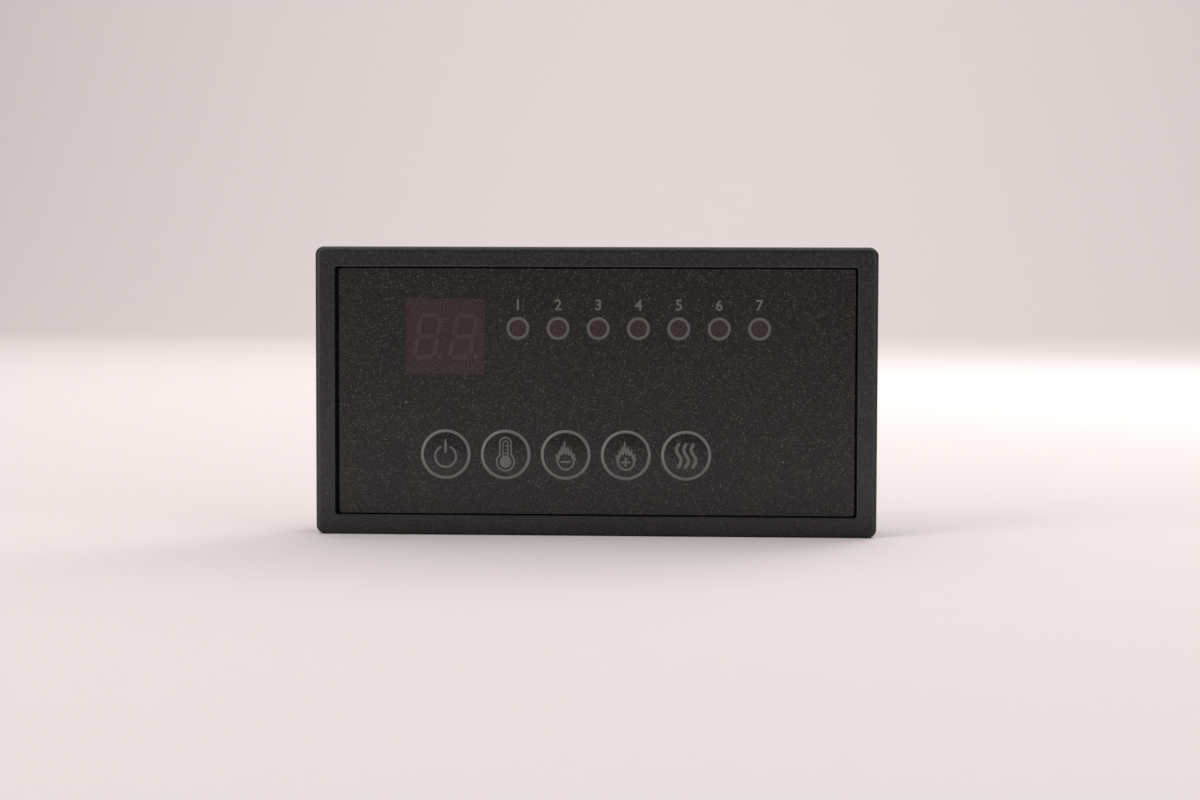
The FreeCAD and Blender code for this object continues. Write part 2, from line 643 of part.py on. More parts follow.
def display_pins():
    """The display's two rows of pins, through the board."""
    return [square_pin(x, z, DISPLAY_PIN_WIDTH, BOARD_FRONT_Y, LEAD_END_Y) for x, z in DISPLAY_PIN_PLACES]


def day_lamp(x, z):
    """A round lamp: hemispherical tip, straight body and a flange with a flat on the cathode's side."""
    radius = LAMP_DIAMETER / 2
    flange = LAMP_FLANGE_DIAMETER / 2
    flange_y = LAMP_BASE_Y - LAMP_FLANGE_HEIGHT
    shoulder_y = LAMP_TIP_Y + radius
    diagonal = radius * math.sqrt(0.5)
    profile = [
        arc((0, LAMP_TIP_Y), (diagonal, shoulder_y - diagonal), (radius, shoulder_y)),
        line((radius, shoulder_y), (radius, flange_y)),
        line((radius, flange_y), (flange, flange_y)),
        line((flange, flange_y), (flange, LAMP_BASE_Y)),
        line((flange, LAMP_BASE_Y), (0, LAMP_BASE_Y)),
        line((0, LAMP_BASE_Y), (0, LAMP_TIP_Y)),
    ]
    lamp = turned(profile, x, z)
    cut_x = x + flange - LAMP_FLAT
    return lamp.cut(block(cut_x, cut_x + PAST, flange_y, LAMP_BASE_Y, z - flange, z + flange))


def lamp_lead_places():
    """The (x, z) of the two leads of each lamp."""
    return [(x + side * LAMP_LEAD_SPAN / 2, z) for x, z in LAMP_PLACES for side in (-1, 1)]


def lamp_leads():
    """Two leads for each lamp, from its base through the board."""
    return [square_pin(x, z, LAMP_LEAD_WIDTH, LAMP_BASE_Y, LEAD_END_Y) for x, z in lamp_lead_places()]


def lead_hole_places():
    """Where the board is drilled for a lead."""
    places = [(x + dx, z + dz) for x, z in KEY_PLACES.values() for dx, dz in TERMINAL_OFFSETS]
    places += DISPLAY_PIN_PLACES + lamp_lead_places()
    for place, ways in ((HARNESS_PLACE, HARNESS_WAYS), (SENSOR_PLACE, SENSOR_WAYS)):
        places += header_pin_places(place, ways)
    return places


def circuit_board():
    """The board, drilled for its leads and its six screws."""
    board = rounded_plate(BOARD_WIDTH, BOARD_HEIGHT, BOARD_CORNER, BOARD_FRONT_Y, BOARD_BACK_Y)
    screw_hole = SCREW_CORE_DIAMETER + 2 * SCREW_BOARD_CLEARANCE
    holes = [(x, z, LEAD_HOLE_DIAMETER) for x, z in lead_hole_places()]
    holes += [(x, z, screw_hole) for x, z in POST_PLACES]
    drills = [disc(x, z, size, BOARD_FRONT_Y - PAST, BOARD_BACK_Y + PAST) for x, z, size in holes]
    return board.cut(Part.makeCompound(drills))


def board_screw(x, z):
    """A pan-head screw through the board into its post, with a cross recess."""
    radius = SCREW_HEAD_DIAMETER / 2
    core = SCREW_CORE_DIAMETER / 2
    top_y = BOARD_BACK_Y + SCREW_HEAD_HEIGHT
    shoulder = (radius, BOARD_BACK_Y + SCREW_HEAD_HEIGHT * 0.45)
    brow = (radius * 0.86, BOARD_BACK_Y + SCREW_HEAD_HEIGHT * 0.82)
    tip_y = BOARD_BACK_Y - SCREW_LENGTH
    profile = [
        line((0, tip_y), (core * 0.4, tip_y)),
        line((core * 0.4, tip_y), (core, tip_y + core)),
        line((core, tip_y + core), (core, BOARD_BACK_Y)),
        line((core, BOARD_BACK_Y), (radius, BOARD_BACK_Y)),
        line((radius, BOARD_BACK_Y), shoulder),
        arc(shoulder, brow, (radius * 0.5, top_y)),
        line((radius * 0.5, top_y), (0, top_y)),
        line((0, top_y), (0, tip_y)),
    ]
    screw = turned(profile, x, z)
    bottom_y = top_y - SCREW_RECESS_DEPTH
    arm = (SCREW_RECESS_LENGTH, SCREW_RECESS_WIDTH)
    for width, height in (arm, arm[::-1]):
        screw = screw.cut(centred_block(x, z, width, height, bottom_y, top_y + PAST))
    return screw


# Parts on the back of the board


def chip_length(leads):
    """The body's length of a chip with that many leads."""
    return (leads / 2 - 1) * CHIP_PITCH + 2 * CHIP_END_MARGIN


def chip_body(place, leads):
    """A moulded chip body with drafted sides and a dimple at its first lead."""
    x, z = place
    length = chip_length(leads)
    y0 = BOARD_BACK_Y + SOLDER_STANDOFF
    y1 = y0 + CHIP_BODY_HEIGHT
    body = centred_block(x, z, length, CHIP_BODY_WIDTH, y0, y1)
    body = body.makeChamfer(CHIP_CHAMFER, edges_of_box_at(body, y1))
    dot_x, dot_z = x - length / 2 + CHIP_DOT_INSET, z - CHIP_BODY_WIDTH / 2 + CHIP_DOT_INSET
    return body.cut(disc(dot_x, dot_z, CHIP_DOT_DIAMETER, y1 - CHIP_DOT_DEPTH, y1 + PAST))


def chip_leads(place, leads):
    """Gull-wing leads along both long sides of a chip."""
    x, z = place
    exit_y = BOARD_BACK_Y + SOLDER_STANDOFF + CHIP_BODY_HEIGHT / 2
    t = CHIP_LEAD_THICKNESS
    foot = CHIP_LEAD_FOOT
    half = CHIP_BODY_WIDTH / 2
    outline = [
        (half, exit_y + t / 2),
        (half + CHIP_LEAD_REACH - foot + t / 2, exit_y + t / 2),
        (half + CHIP_LEAD_REACH - foot + t / 2, BOARD_BACK_Y + t),
        (half + CHIP_LEAD_REACH, BOARD_BACK_Y + t),
        (half + CHIP_LEAD_REACH, BOARD_BACK_Y),
        (half + CHIP_LEAD_REACH - foot - t / 2, BOARD_BACK_Y),
        (half + CHIP_LEAD_REACH - foot - t / 2, exit_y - t / 2),
        (half, exit_y - t / 2),
    ]
    solids = []
    for i in range(leads // 2):
        lead_x = x + (i - (leads / 2 - 1) / 2) * CHIP_PITCH
        for side in (-1, 1):
            corners = [Vector(lead_x - CHIP_LEAD_WIDTH / 2, y, z + side * out) for out, y in outline]
            face = Part.Face(Part.makePolygon(corners + corners[:1]))
            solids.append(face.extrude(Vector(CHIP_LEAD_WIDTH, 0, 0)))
    return solids


def watch_crystal():
    """A small can lying on the board with two leads bent down to their pads."""
    x, z = WATCH_CRYSTAL_PLACE
    axis_y = BOARD_BACK_Y + WATCH_CRYSTAL_DIAMETER / 2
    can = Part.makeCylinder(
        WATCH_CRYSTAL_DIAMETER / 2, WATCH_CRYSTAL_LENGTH, Vector(x, axis_y, z), Vector(1, 0, 0)
    )
    ends = [e for e in can.Edges if e.BoundBox.XLength < 1e-4 and e.BoundBox.ZLength > 1]
    can = can.makeFillet(WATCH_CRYSTAL_FILLET, ends)
    half = WATCH_CRYSTAL_WIRE / 2
    end_x = x - WATCH_CRYSTAL_LEAD
    for lead_z in (z - WATCH_CRYSTAL_SPAN / 2, z + WATCH_CRYSTAL_SPAN / 2):
        z0, z1 = lead_z - half, lead_z + half
        along = block(end_x, x + half, axis_y - half, axis_y + half, z0, z1)
        down = block(end_x, end_x + WATCH_CRYSTAL_WIRE, BOARD_BACK_Y, axis_y, z0, z1)
        can = can.fuse(along).fuse(down)
    return can


def clock_crystal():
    """A low oval can on a rim, soldered flat to the board."""
    x, z = CLOCK_CRYSTAL_PLACE
    top_y = BOARD_BACK_Y + CLOCK_CRYSTAL_HEIGHT
    rim_y = BOARD_BACK_Y + CLOCK_CRYSTAL_RIM
    rim = oval(x, z, CLOCK_CRYSTAL_LENGTH, CLOCK_CRYSTAL_WIDTH, BOARD_BACK_Y, rim_y)
    length = CLOCK_CRYSTAL_LENGTH - 2 * CLOCK_CRYSTAL_RIM
    can = oval(x, z, length, CLOCK_CRYSTAL_WIDTH - 2 * CLOCK_CRYSTAL_RIM, BOARD_BACK_Y, top_y)
    return rim.fuse(can.makeFillet(CLOCK_CRYSTAL_FILLET, edges_of_box_at(can, top_y)))


def capacitor_can(x, z):
    """An aluminium can with rounded shoulders and the groove rolled in above its seal."""
    radius = CAN_DIAMETER / 2
    y0 = BOARD_BACK_Y + CAN_BASE_HEIGHT
    top_y = BOARD_BACK_Y + CAN_HEIGHT
    groove_y = y0 + CAN_GROOVE_UP
    low, high = groove_y - CAN_GROOVE_DEPTH, groove_y + CAN_GROOVE_DEPTH
    brow_y, brow = top_y - CAN_SHOULDER, radius - CAN_SHOULDER
    diagonal = CAN_SHOULDER * math.sqrt(0.5)
    profile = [
        line((0, y0), (radius, y0)),
        line((radius, y0), (radius, low)),
        arc((radius, low), (radius - CAN_GROOVE_DEPTH, groove_y), (radius, high)),
        line((radius, high), (radius, brow_y)),
        arc((radius, brow_y), (brow + diagonal, brow_y + diagonal), (brow, top_y)),
        line((brow, top_y), (0, top_y)),
        line((0, top_y), (0, y0)),
    ]
    return turned(profile, x, z)


def capacitor_base(x, z):
    """The square moulded foot of a surface-mount can, with two cut corners that mark its polarity."""
    half = CAN_BASE_SIZE / 2
    cut = half - CAN_BASE_CUT
    points = [(-half, -half), (half, -half), (half, cut), (cut, half), (-cut, half), (-half, cut)]
    return prism([(x + a, z + b) for a, b in points], BOARD_BACK_Y, BOARD_BACK_Y + CAN_BASE_HEIGHT)


def buzzer():
    """A round sounder with a hole in its top."""
    x, z = BUZZER_PLACE
    top_y = BOARD_BACK_Y + BUZZER_HEIGHT
    body = disc(x, z, BUZZER_DIAMETER, BOARD_BACK_Y, top_y)
    body = body.makeFillet(BUZZER_FILLET, edges_of_box_at(body, top_y))
    return body.cut(disc(x, z, BUZZER_SOUND_HOLE, top_y - BUZZER_HOLE_DEPTH, top_y + PAST))


def header_length(ways):
    """How long the shroud of a header is."""
    return (ways - 1) * HEADER_PITCH + 2 * HEADER_END


def header_pin_places(place, ways):
    """The (x, z) of each pin; a header runs along Z."""
    x, z = place
    return [(x, z + (i - (ways - 1) / 2) * HEADER_PITCH) for i in range(ways)]


def header_shroud(place, ways):
    """The open box that guides a plug, with two keying slots in its inner long wall."""
    x, z = place
    length = header_length(ways)
    y0 = BOARD_BACK_Y
    y1 = y0 + HEADER_HEIGHT
    floor_y = y0 + HEADER_FLOOR
    shroud = centred_block(x, z, HEADER_DEPTH, length, y0, y1)
    inner_depth, inner_length = HEADER_DEPTH - 2 * HEADER_WALL, length - 2 * HEADER_WALL
    shroud = shroud.cut(centred_block(x, z, inner_depth, inner_length, floor_y, y1 + PAST))
    wall_x = x - (HEADER_DEPTH - HEADER_WALL) / 2
    sill_y = floor_y + HEADER_KEY_SILL
    for side in (-1, 1):
        slot_z = z + side * (length / 2 - HEADER_WALL - HEADER_KEY_SLOT)
        shroud = shroud.cut(centred_block(wall_x, slot_z, HEADER_WALL, HEADER_KEY_SLOT, sill_y, y1 + PAST))
    for px, pz in header_pin_places(place, ways):
        shroud = shroud.cut(centred_block(px, pz, HEADER_PIN_WIDTH, HEADER_PIN_WIDTH, y0 - PAST, y1))
    return shroud


def header_pins(place, ways):
    """Square pins, from inside the shroud through the board."""
    tip_y = BOARD_BACK_Y + HEADER_FLOOR + HEADER_PIN_LENGTH
    front_y = BOARD_FRONT_Y - LEAD_STICK_OUT
    pins = []
    for x, z in header_pin_places(place, ways):
        pin = centred_block(x, z, HEADER_PIN_WIDTH, HEADER_PIN_WIDTH, front_y, tip_y)
        pins.append(pin.makeChamfer(PIN_TAPER * HEADER_PIN_WIDTH, edges_of_box_at(pin, tip_y)))
    return pins


def small_parts(size, places):
    """Little blocks flat on the back of the board; each place is (x, z, upright)."""
    length, thickness, width = size
    solids = []
    for x, z, upright in places:
        w, h = (width, length) if upright else (length, width)
        solids.append(centred_block(x, z, w, h, BOARD_BACK_Y, BOARD_BACK_Y + thickness))
    return solids


def resistor_places():
    """One beside each lamp, and a group by the controller and by the driver."""
    places = [(x, z - 4.2, True) for x, z in LAMP_PLACES]
    driver_x, driver_z = DRIVER_PLACE
    controller_x, controller_z = CONTROLLER_PLACE
    places += [(driver_x - 9.2, driver_z - 3.0 + 2.0 * i, False) for i in range(4)]
    places += [(controller_x + 11.8, controller_z - 4.0 + 2.0 * i, False) for i in range(3)]
    return places


def capacitor_places():
    """By the supply, the crystals and the chips."""
    driver_x, driver_z = DRIVER_PLACE
    controller_x, controller_z = CONTROLLER_PLACE
    harness_x, harness_z = HARNESS_PLACE
    return [
        (driver_x + 9.0, driver_z + 1.5, True),
        (driver_x + 9.0, driver_z - 1.8, True),
        (controller_x + 16.0, controller_z - 3.4, True),
        (controller_x + 18.6, controller_z - 3.4, True),
        (harness_x - 4.8, harness_z + 6.5, True),
        (harness_x - 6.6, harness_z - 9.6, False),
    ]


def transistor_places():
    """One for each digit, and one for the buzzer."""
    buzzer_x, buzzer_z = BUZZER_PLACE
    return [
        (DISPLAY_X - DISPLAY_WIDTH / 2 - 3.5, DISPLAY_Z + 2.5),
        (DISPLAY_X - DISPLAY_WIDTH / 2 - 3.5, DISPLAY_Z - 2.5),
        (buzzer_x - 7.4, buzzer_z + 0.4),
    ]


def transistor(x, z):
    """A three-legged chip with its legs joined to its body."""
    length, thickness, width = TRANSISTOR
    leg_width, leg_thickness, leg_reach = TRANSISTOR_LEG
    body = centred_block(x, z, length, width, BOARD_BACK_Y + SOLDER_STANDOFF, BOARD_BACK_Y + thickness)
    y0, y1 = BOARD_BACK_Y, BOARD_BACK_Y + leg_thickness
    for leg_x, side in ((x - TRANSISTOR_PITCH, -1), (x + TRANSISTOR_PITCH, -1), (x, 1)):
        leg_z = z + side * width / 2
        body = body.fuse(centred_block(leg_x, leg_z, leg_width, 2 * leg_reach, y0, y1))
    return body


# Export


def all_nodes():
    """Every node's name with its solid or its list of solids."""
    nodes = {
        "front_bezel": front_bezel(),
        "overlay_film": overlay_film(),
        "overlay_adhesive": overlay_adhesive(),
        "circuit_board": circuit_board(),
        "display_case": display_case(),
        "display_segments": display_segments(),
        "display_pins": display_pins(),
        "lamp_leads": lamp_leads(),
        "controller_chip": chip_body(CONTROLLER_PLACE, CONTROLLER_LEADS),
        "controller_chip_leads": chip_leads(CONTROLLER_PLACE, CONTROLLER_LEADS),
        "driver_chip": chip_body(DRIVER_PLACE, DRIVER_LEADS),
        "driver_chip_leads": chip_leads(DRIVER_PLACE, DRIVER_LEADS),
        "watch_crystal": watch_crystal(),
        "clock_crystal": clock_crystal(),
        "buzzer": buzzer(),
        "capacitor_cans": [capacitor_can(x, z) for x, z in CAN_PLACES],
        "capacitor_bases": [capacitor_base(x, z) for x, z in CAN_PLACES],
        "harness_header": header_shroud(HARNESS_PLACE, HARNESS_WAYS),
        "harness_header_pins": header_pins(HARNESS_PLACE, HARNESS_WAYS),
        "sensor_header": header_shroud(SENSOR_PLACE, SENSOR_WAYS),
        "sensor_header_pins": header_pins(SENSOR_PLACE, SENSOR_WAYS),
        "chip_resistors": small_parts(CHIP_RESISTOR, resistor_places()),
        "chip_capacitors": small_parts(CHIP_CAPACITOR, capacitor_places()),
        "transistors": [transistor(x, z) for x, z in transistor_places()],
        "board_screws": [board_screw(x, z) for x, z in POST_PLACES],
        "switch_terminals": [leg for x, z in KEY_PLACES.values() for leg in switch_terminals(x, z)],
    }
    for name, (x, z) in KEY_PLACES.items():
        nodes[f"{name}_key"] = key_dome(x, z)
        nodes[f"{name}_switch_stem"] = switch_stem(x, z)
        nodes[f"{name}_switch_cover"] = switch_cover(x, z)
        nodes[f"{name}_switch_base"] = switch_base(x, z)
        nodes[f"{name}_snap_dome"] = snap_dome(x, z)
    for number, (x, z) in enumerate(LAMP_PLACES, start=1):
        nodes[f"day_lamp_{number}"] = day_lamp(x, z)
    return nodes


def main():
    """Writes one STEP file for each node."""
    os.makedirs("parts", exist_ok=True)
    for name, solids in all_nodes().items():
        shape = Part.makeCompound(solids) if isinstance(solids, list) else solids
        bad = [s for s in shape.Solids if not s.isValid()]
        if bad or not shape.Solids:
            raise RuntimeError(f"{name} has {len(bad)} bad solids of {len(shape.Solids)}")
        if len(shape.Solids) == 1:
            shape = shape.Solids[0]
        shape.exportStep(f"parts/{name}.step")


main()
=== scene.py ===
"""Looks of a panel-mounted weekly timer: its bezel, printed face, keys, display, lamps and circuit board.

Lengths are in millimetres until a mesh is finished, when they become metres. The face looks along -Y,
+X is to the right of a person facing it and +Z is up. Outlines are lists of (across, up) points.
"""
import logging
import math
from collections.abc import Callable, Iterable, Sequence
from dataclasses import dataclass
from enum import Enum
from functools import cache

import bmesh
import bpy
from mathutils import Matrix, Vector
from mathutils.geometry import delaunay_2d_cdt


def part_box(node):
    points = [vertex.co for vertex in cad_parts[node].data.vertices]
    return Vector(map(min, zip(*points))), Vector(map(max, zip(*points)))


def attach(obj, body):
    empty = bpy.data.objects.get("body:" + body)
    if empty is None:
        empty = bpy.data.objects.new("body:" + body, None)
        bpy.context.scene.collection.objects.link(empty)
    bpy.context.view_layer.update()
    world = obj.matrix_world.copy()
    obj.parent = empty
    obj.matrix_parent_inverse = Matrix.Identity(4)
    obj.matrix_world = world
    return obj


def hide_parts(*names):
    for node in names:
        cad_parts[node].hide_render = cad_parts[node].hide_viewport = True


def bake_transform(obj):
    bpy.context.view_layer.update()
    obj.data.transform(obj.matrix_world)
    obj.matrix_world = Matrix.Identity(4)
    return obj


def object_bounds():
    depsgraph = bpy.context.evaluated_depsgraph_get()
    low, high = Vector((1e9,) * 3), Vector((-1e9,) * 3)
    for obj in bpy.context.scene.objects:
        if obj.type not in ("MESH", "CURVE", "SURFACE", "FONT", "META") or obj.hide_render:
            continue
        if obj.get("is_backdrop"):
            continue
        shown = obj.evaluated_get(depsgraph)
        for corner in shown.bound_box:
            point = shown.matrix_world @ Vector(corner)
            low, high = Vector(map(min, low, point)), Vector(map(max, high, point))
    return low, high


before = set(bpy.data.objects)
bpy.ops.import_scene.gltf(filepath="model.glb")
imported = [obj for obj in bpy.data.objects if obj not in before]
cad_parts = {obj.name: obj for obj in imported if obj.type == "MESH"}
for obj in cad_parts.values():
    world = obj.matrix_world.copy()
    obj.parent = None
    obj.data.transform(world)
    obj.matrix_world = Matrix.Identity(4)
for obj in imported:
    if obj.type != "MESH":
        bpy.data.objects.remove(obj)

Point = tuple[float, float]
Outline = list[Point]
Colour = tuple[float, float, float]

MM = 0.001
ON_AXIS = 1e-6
SAME_SPOT = 1e-7
WELD = 1e-4
CREASE_DEGREES = 35.0
HOUSING = "housing"
KEYS = ("power", "temperature", "flame_down", "flame_up", "heat")
LAMPS = tuple(f"day_lamp_{day}" for day in range(1, 8))
CHIPS = ("controller_chip", "driver_chip")
CHIP_PARTS = ("chip_resistors", "chip_capacitors")
HEADERS = ("harness_header", "sensor_header")

log = logging.getLogger("timer")


class Slot(Enum):
    """The record's material slots."""

    BEZEL = "bezel_plastic"
    FILM = "printed_film"
    ADHESIVE = "adhesive"
    BOARD = "board_laminate"
    DISPLAY = "display_black"
    BARS = "display_bars"
    TIN = "tinned_lead"
    CHIP = "chip_black"
    CRYSTAL = "crystal_can"
    CAPACITOR = "capacitor_aluminium"
    HEADER = "header_nylon"
    CERAMIC = "chip_ceramic"
    SCREW = "screw_steel"
    LAMP = "lamp_epoxy"
    SWITCH = "switch_black"
    SPRING = "switch_steel"


# ------------------------------------------------------------------ outlines


def arc(x: float, z: float, radius: float, start: float, end: float, steps: int = 12) -> Outline:
    """Points along an arc.

    Args:
        x: Centre across.
        z: Centre up.
        radius: Radius of the arc.
        start: First angle in degrees, anticlockwise from +X.
        end: Last angle in degrees.
        steps: How many chords the arc has.

    Returns:
        The steps + 1 points, both ends included.
    """
    angles = [math.radians(start + (end - start) * i / steps) for i in range(steps + 1)]
    return [(x + radius * math.cos(a), z + radius * math.sin(a)) for a in angles]


def circle(x: float, z: float, radius: float, steps: int = 48) -> Outline:
    """A closed circle of that many points."""
    return arc(x, z, radius, 0.0, 360.0, steps)[:-1]


def circles(boxes: Iterable["Box"], radius: float, steps: int) -> list[Outline]:
    """A circle round the middle of each box."""
    return [circle(box.x, box.z, radius, steps) for box in boxes]


def rounded(x: float, z: float, width: float, height: float, corner: float, steps: int = 8) -> Outline:
    """A rectangle centred on (x, z) with round corners of radius corner."""
    across, up = width / 2 - corner, height / 2 - corner
    points: Outline = []
    for turn, (sx, sz) in enumerate(((1, 1), (-1, 1), (-1, -1), (1, -1))):
        points += arc(x + sx * across, z + sz * up, corner, turn * 90.0, turn * 90.0 + 90.0, steps)
    return points


def bowed(points: Sequence[tuple[float, float, float]]) -> Outline:
    """An outline whose sides are shallow arcs, up to and with its last corner.

    Args:
        points: (x, z, bow) of each corner; bow is how far the side after it bulges to its left.

    Returns:
        The outline's points, without those of the side that would close it.
    """
    steps = 5
    outline: Outline = []
    for (x0, z0, bow), (x1, z1, _) in zip(points, [*points[1:], points[0]]):
        length = math.hypot(x1 - x0, z1 - z0)
        left = (-(z1 - z0) / length, (x1 - x0) / length)
        for i in range(steps if bow else 1):
            t = i / steps
            off = 4 * bow * t * (1 - t)
            outline.append((x0 + (x1 - x0) * t + left[0] * off, z0 + (z1 - z0) * t + left[1] * off))
    return outline[:1 - steps]


def stroke(path: Outline, width: float, pointed: float = 0.0, cap_steps: int = 5) -> Outline:
    """The outline of a line drawn along a path.

    Args:
        path: The middle of the line.
        width: How wide the line is.
        pointed: Over what length the ends taper to a point; with 0 they are round.
        cap_steps: How many chords a round end has.

    Returns:
        The closed outline, anticlockwise or clockwise as the path runs.
    """
    count = len(path)
    run = [0.0]
    for a, b in zip(path, path[1:]):
        run.append(run[-1] + math.dist(a, b))
    left: Outline = []
    right: Outline = []
    for i, (x, z) in enumerate(path):
        before, after = path[max(i - 1, 0)], path[min(i + 1, count - 1)]
        length = math.dist(before, after)
        side = (-(after[1] - before[1]) / length, (after[0] - before[0]) / length)
        reach = min(run[i], run[-1] - run[i])
        half = width / 2 * (min(1.0, 0.12 + reach / pointed) if pointed else 1.0)
        left.append((x + side[0] * half, z + side[1] * half))
        right.append((x - side[0] * half, z - side[1] * half))
    if pointed:
        return left + right[::-1]
    heads: list[Outline] = []
    for end, near in ((path[-1], left[-1]), (path[0], right[0])):
        start = math.degrees(math.atan2(near[1] - end[1], near[0] - end[0]))
        heads.append(arc(end[0], end[1], width / 2, start, start - 180.0, cap_steps)[1:-1])
    return left + heads[0] + right[::-1] + heads[1]


def moved(outline: Outline, x: float, z: float) -> Outline:
    """The outline shifted by (x, z)."""
    return [(px + x, pz + z) for px, pz in outline]


def inside(point: Point, outlines: Sequence[Outline]) -> bool:
    """Whether a point lies in the area between closed outlines, by the even-odd rule."""
    x, z = point
    odd = False
    for outline in outlines:
        for (ax, az), (bx, bz) in zip(outline, outline[1:] + outline[:1]):
            if (az > z) != (bz > z) and x < ax + (z - az) * (bx - ax) / (bz - az):
                odd = not odd
    return odd


def filled(outlines: Sequence[Outline], spacing: float = 0.0) -> tuple[Outline, list[tuple[int, ...]]]:
    """Triangles that fill the area between closed outlines.

    Args:
        outlines: The outer outlines and the holes in them.
        spacing: Distance between extra points inside, for an area that is draped; 0 for none.

    Returns:
        The points and the triangles as indices into them.
    """
    points: Outline = []
    edges: list[tuple[int, int]] = []
    for outline in outlines:
        first, count = len(points), len(outline)
        points += outline
        edges += [(first + i, first + (i + 1) % count) for i in range(count)]
    if spacing:
        points += grid_inside(outlines, points, spacing)
    found = delaunay_2d_cdt([Vector(p) for p in points], edges, [], 0, SAME_SPOT)
    spots, faces = found[0], found[2]
    kept = []
    for face in faces:
        middle = sum((spots[i] for i in face), Vector((0.0, 0.0))) / len(face)
        if inside(tuple(middle), outlines):
            kept.append(tuple(face))
    return [tuple(p) for p in spots], kept


def grid_inside(outlines: Sequence[Outline], border: Outline, spacing: float) -> Outline:
    """Evenly spaced points inside outlines that keep half a spacing away from their border."""
    xs, zs = [p[0] for p in border], [p[1] for p in border]
    grid: Outline = []
    for row in range(int((max(zs) - min(zs)) / spacing) + 1):
        for column in range(int((max(xs) - min(xs)) / spacing) + 1):
            spot = (min(xs) + (column + 0.5 * (row % 2)) * spacing, min(zs) + row * spacing)
            clear = all(math.dist(spot, p) > spacing / 2 for p in border)
            if clear and inside(spot, outlines):
                grid.append(spot)
    return grid


# -------------------------------------------------------------------- shapes


class Shape:
    """A mesh in the making, in millimetres."""

    def __init__(self) -> None:
        """Starts empty."""
        self.mesh = bmesh.new()

    def ring(self, points: Iterable[Sequence[float]]) -> list[bmesh.types.BMVert]:
        """Adds corners and returns them."""
        return [self.mesh.verts.new(p) for p in points]

    def face(self, corners: Sequence[bmesh.types.BMVert]) -> None:
        """Adds one face, unless its corners fall together."""
        if len(set(corners)) > 2:
            self.mesh.faces.new(corners)

    def skin(self, levels: Sequence[Sequence[Sequence[float]]]) -> "Shape":
        """Joins closed rings of equally many (x, y, z) points, and caps the first and the last."""
        rings = [self.ring(level) for level in levels]
        for a, b in zip(rings, rings[1:]):
            for i in range(len(a)):
                j = (i + 1) % len(a)
                self.face((a[i], a[j], b[j], b[i]))
        self.face(rings[0][::-1])
        self.face(rings[-1])
        return self

    def stack(self, levels: Sequence[tuple[Outline, float]]) -> "Shape":
        """Joins outlines of equally many points, each at its own depth y, into a solid."""
        return self.skin([[(x, y, z) for x, z in outline] for outline, y in levels])

    def turned(self, profile: Sequence[Point], x: float, z: float, steps: int = 48) -> "Shape":
        """Turns a profile about the line along Y through (x, z).

        Args:
            profile: (radius, y) points; a first or last radius of 0 closes the solid on its axis.
            x: The axis across.
            z: The axis up.
            steps: How many sides a turn has.

        Returns:
            This shape.
        """
        rings: list[list[bmesh.types.BMVert]] = []
        for radius, y in profile:
            if radius < ON_AXIS:
                rings.append(self.ring([(x, y, z)]) * steps)
            else:
                rings.append(self.ring((px, y, pz) for px, pz in circle(x, z, radius, steps)))
        pairs = list(zip(rings, rings[1:]))
        if profile[0][0] > ON_AXIS and profile[-1][0] > ON_AXIS:
            pairs.append((rings[-1], rings[0]))
        for a, b in pairs:
            for i in range(steps):
                j = (i + 1) % steps
                corners = list(dict.fromkeys((a[i], a[j], b[j], b[i])))
                self.face(corners)
        return self

    def plate(
        self,
        outlines: Sequence[Outline],
        front: Callable[[float, float], float] | float,
        back: Callable[[float, float], float] | float,
        spacing: float = 0.0,
    ) -> "Shape":
        """A sheet between closed outlines, whose two faces are flat or follow a surface.

        Args:
            outlines: The outer outlines and the holes.
            front: Depth of the front face, or a function of (x, z) that gives it.
            back: Depth of the back face, in the same way.
            spacing: Distance between extra points inside, for a face that isn't flat.

        Returns:
            This shape.
        """
        points, faces = filled(outlines, spacing)
        sides = []
        for depth in (front, back):
            at = depth if callable(depth) else (lambda x, z, flat=depth: flat)
            sides.append(self.ring((x, at(x, z), z) for x, z in points))
        used: dict[tuple[int, int], int] = {}
        for face in faces:
            self.face([sides[0][i] for i in face])
            self.face([sides[1][i] for i in reversed(face)])
            for a, b in zip(face, face[1:] + face[:1]):
                used[(a, b)] = used.get((a, b), 0) + 1
        for a, b in used:
            if (b, a) not in used:
                self.face((sides[0][b], sides[0][a], sides[1][a], sides[1][b]))
        return self

    def block(self, low: Sequence[float], high: Sequence[float]) -> "Shape":
        """A box between two corners; soften() rounds its edges."""
        (x0, y0, z0), (x1, y1, z1) = low, high
        square = [(x0, z0), (x1, z0), (x1, z1), (x0, z1)]
        return self.stack([(square, y0), (square, y1)])

    def tube(self, path: Sequence[Sequence[float]], radius: float, steps: int = 10) -> "Shape":
        """A round wire of that radius along a path of (x, y, z) points."""
        levels = []
        for i, spot in enumerate(path):
            here = Vector(spot)
            along = Vector(path[min(i + 1, len(path) - 1)]) - Vector(path[max(i - 1, 0)])
            along.normalize()
            guide = Vector((0, 0, 1)) if abs(along.z) < 0.9 else Vector((1, 0, 0))
            side = along.cross(guide).normalized()
            over = along.cross(side)
            turns = [2 * math.pi * k / steps for k in range(steps)]
            levels.append([here + (side * math.cos(t) + over * math.sin(t)) * radius for t in turns])
        return self.skin(levels)

    def cut(self, tool: "Shape") -> "Shape":
        """Takes another finished shape away from this one."""
        body, knife = self.holder(), tool.holder()
        step = body.modifiers.new("cut", "BOOLEAN")
        step.operation = "DIFFERENCE"
        step.solver = "EXACT"
        step.object = knife
        left = bpy.data.meshes.new_from_object(body.evaluated_get(bpy.context.evaluated_depsgraph_get()))
        self.mesh = bmesh.new()
        self.mesh.from_mesh(left)
        bpy.data.meshes.remove(left)
        for holder in (body, knife):
            bpy.data.meshes.remove(holder.data)
        return self

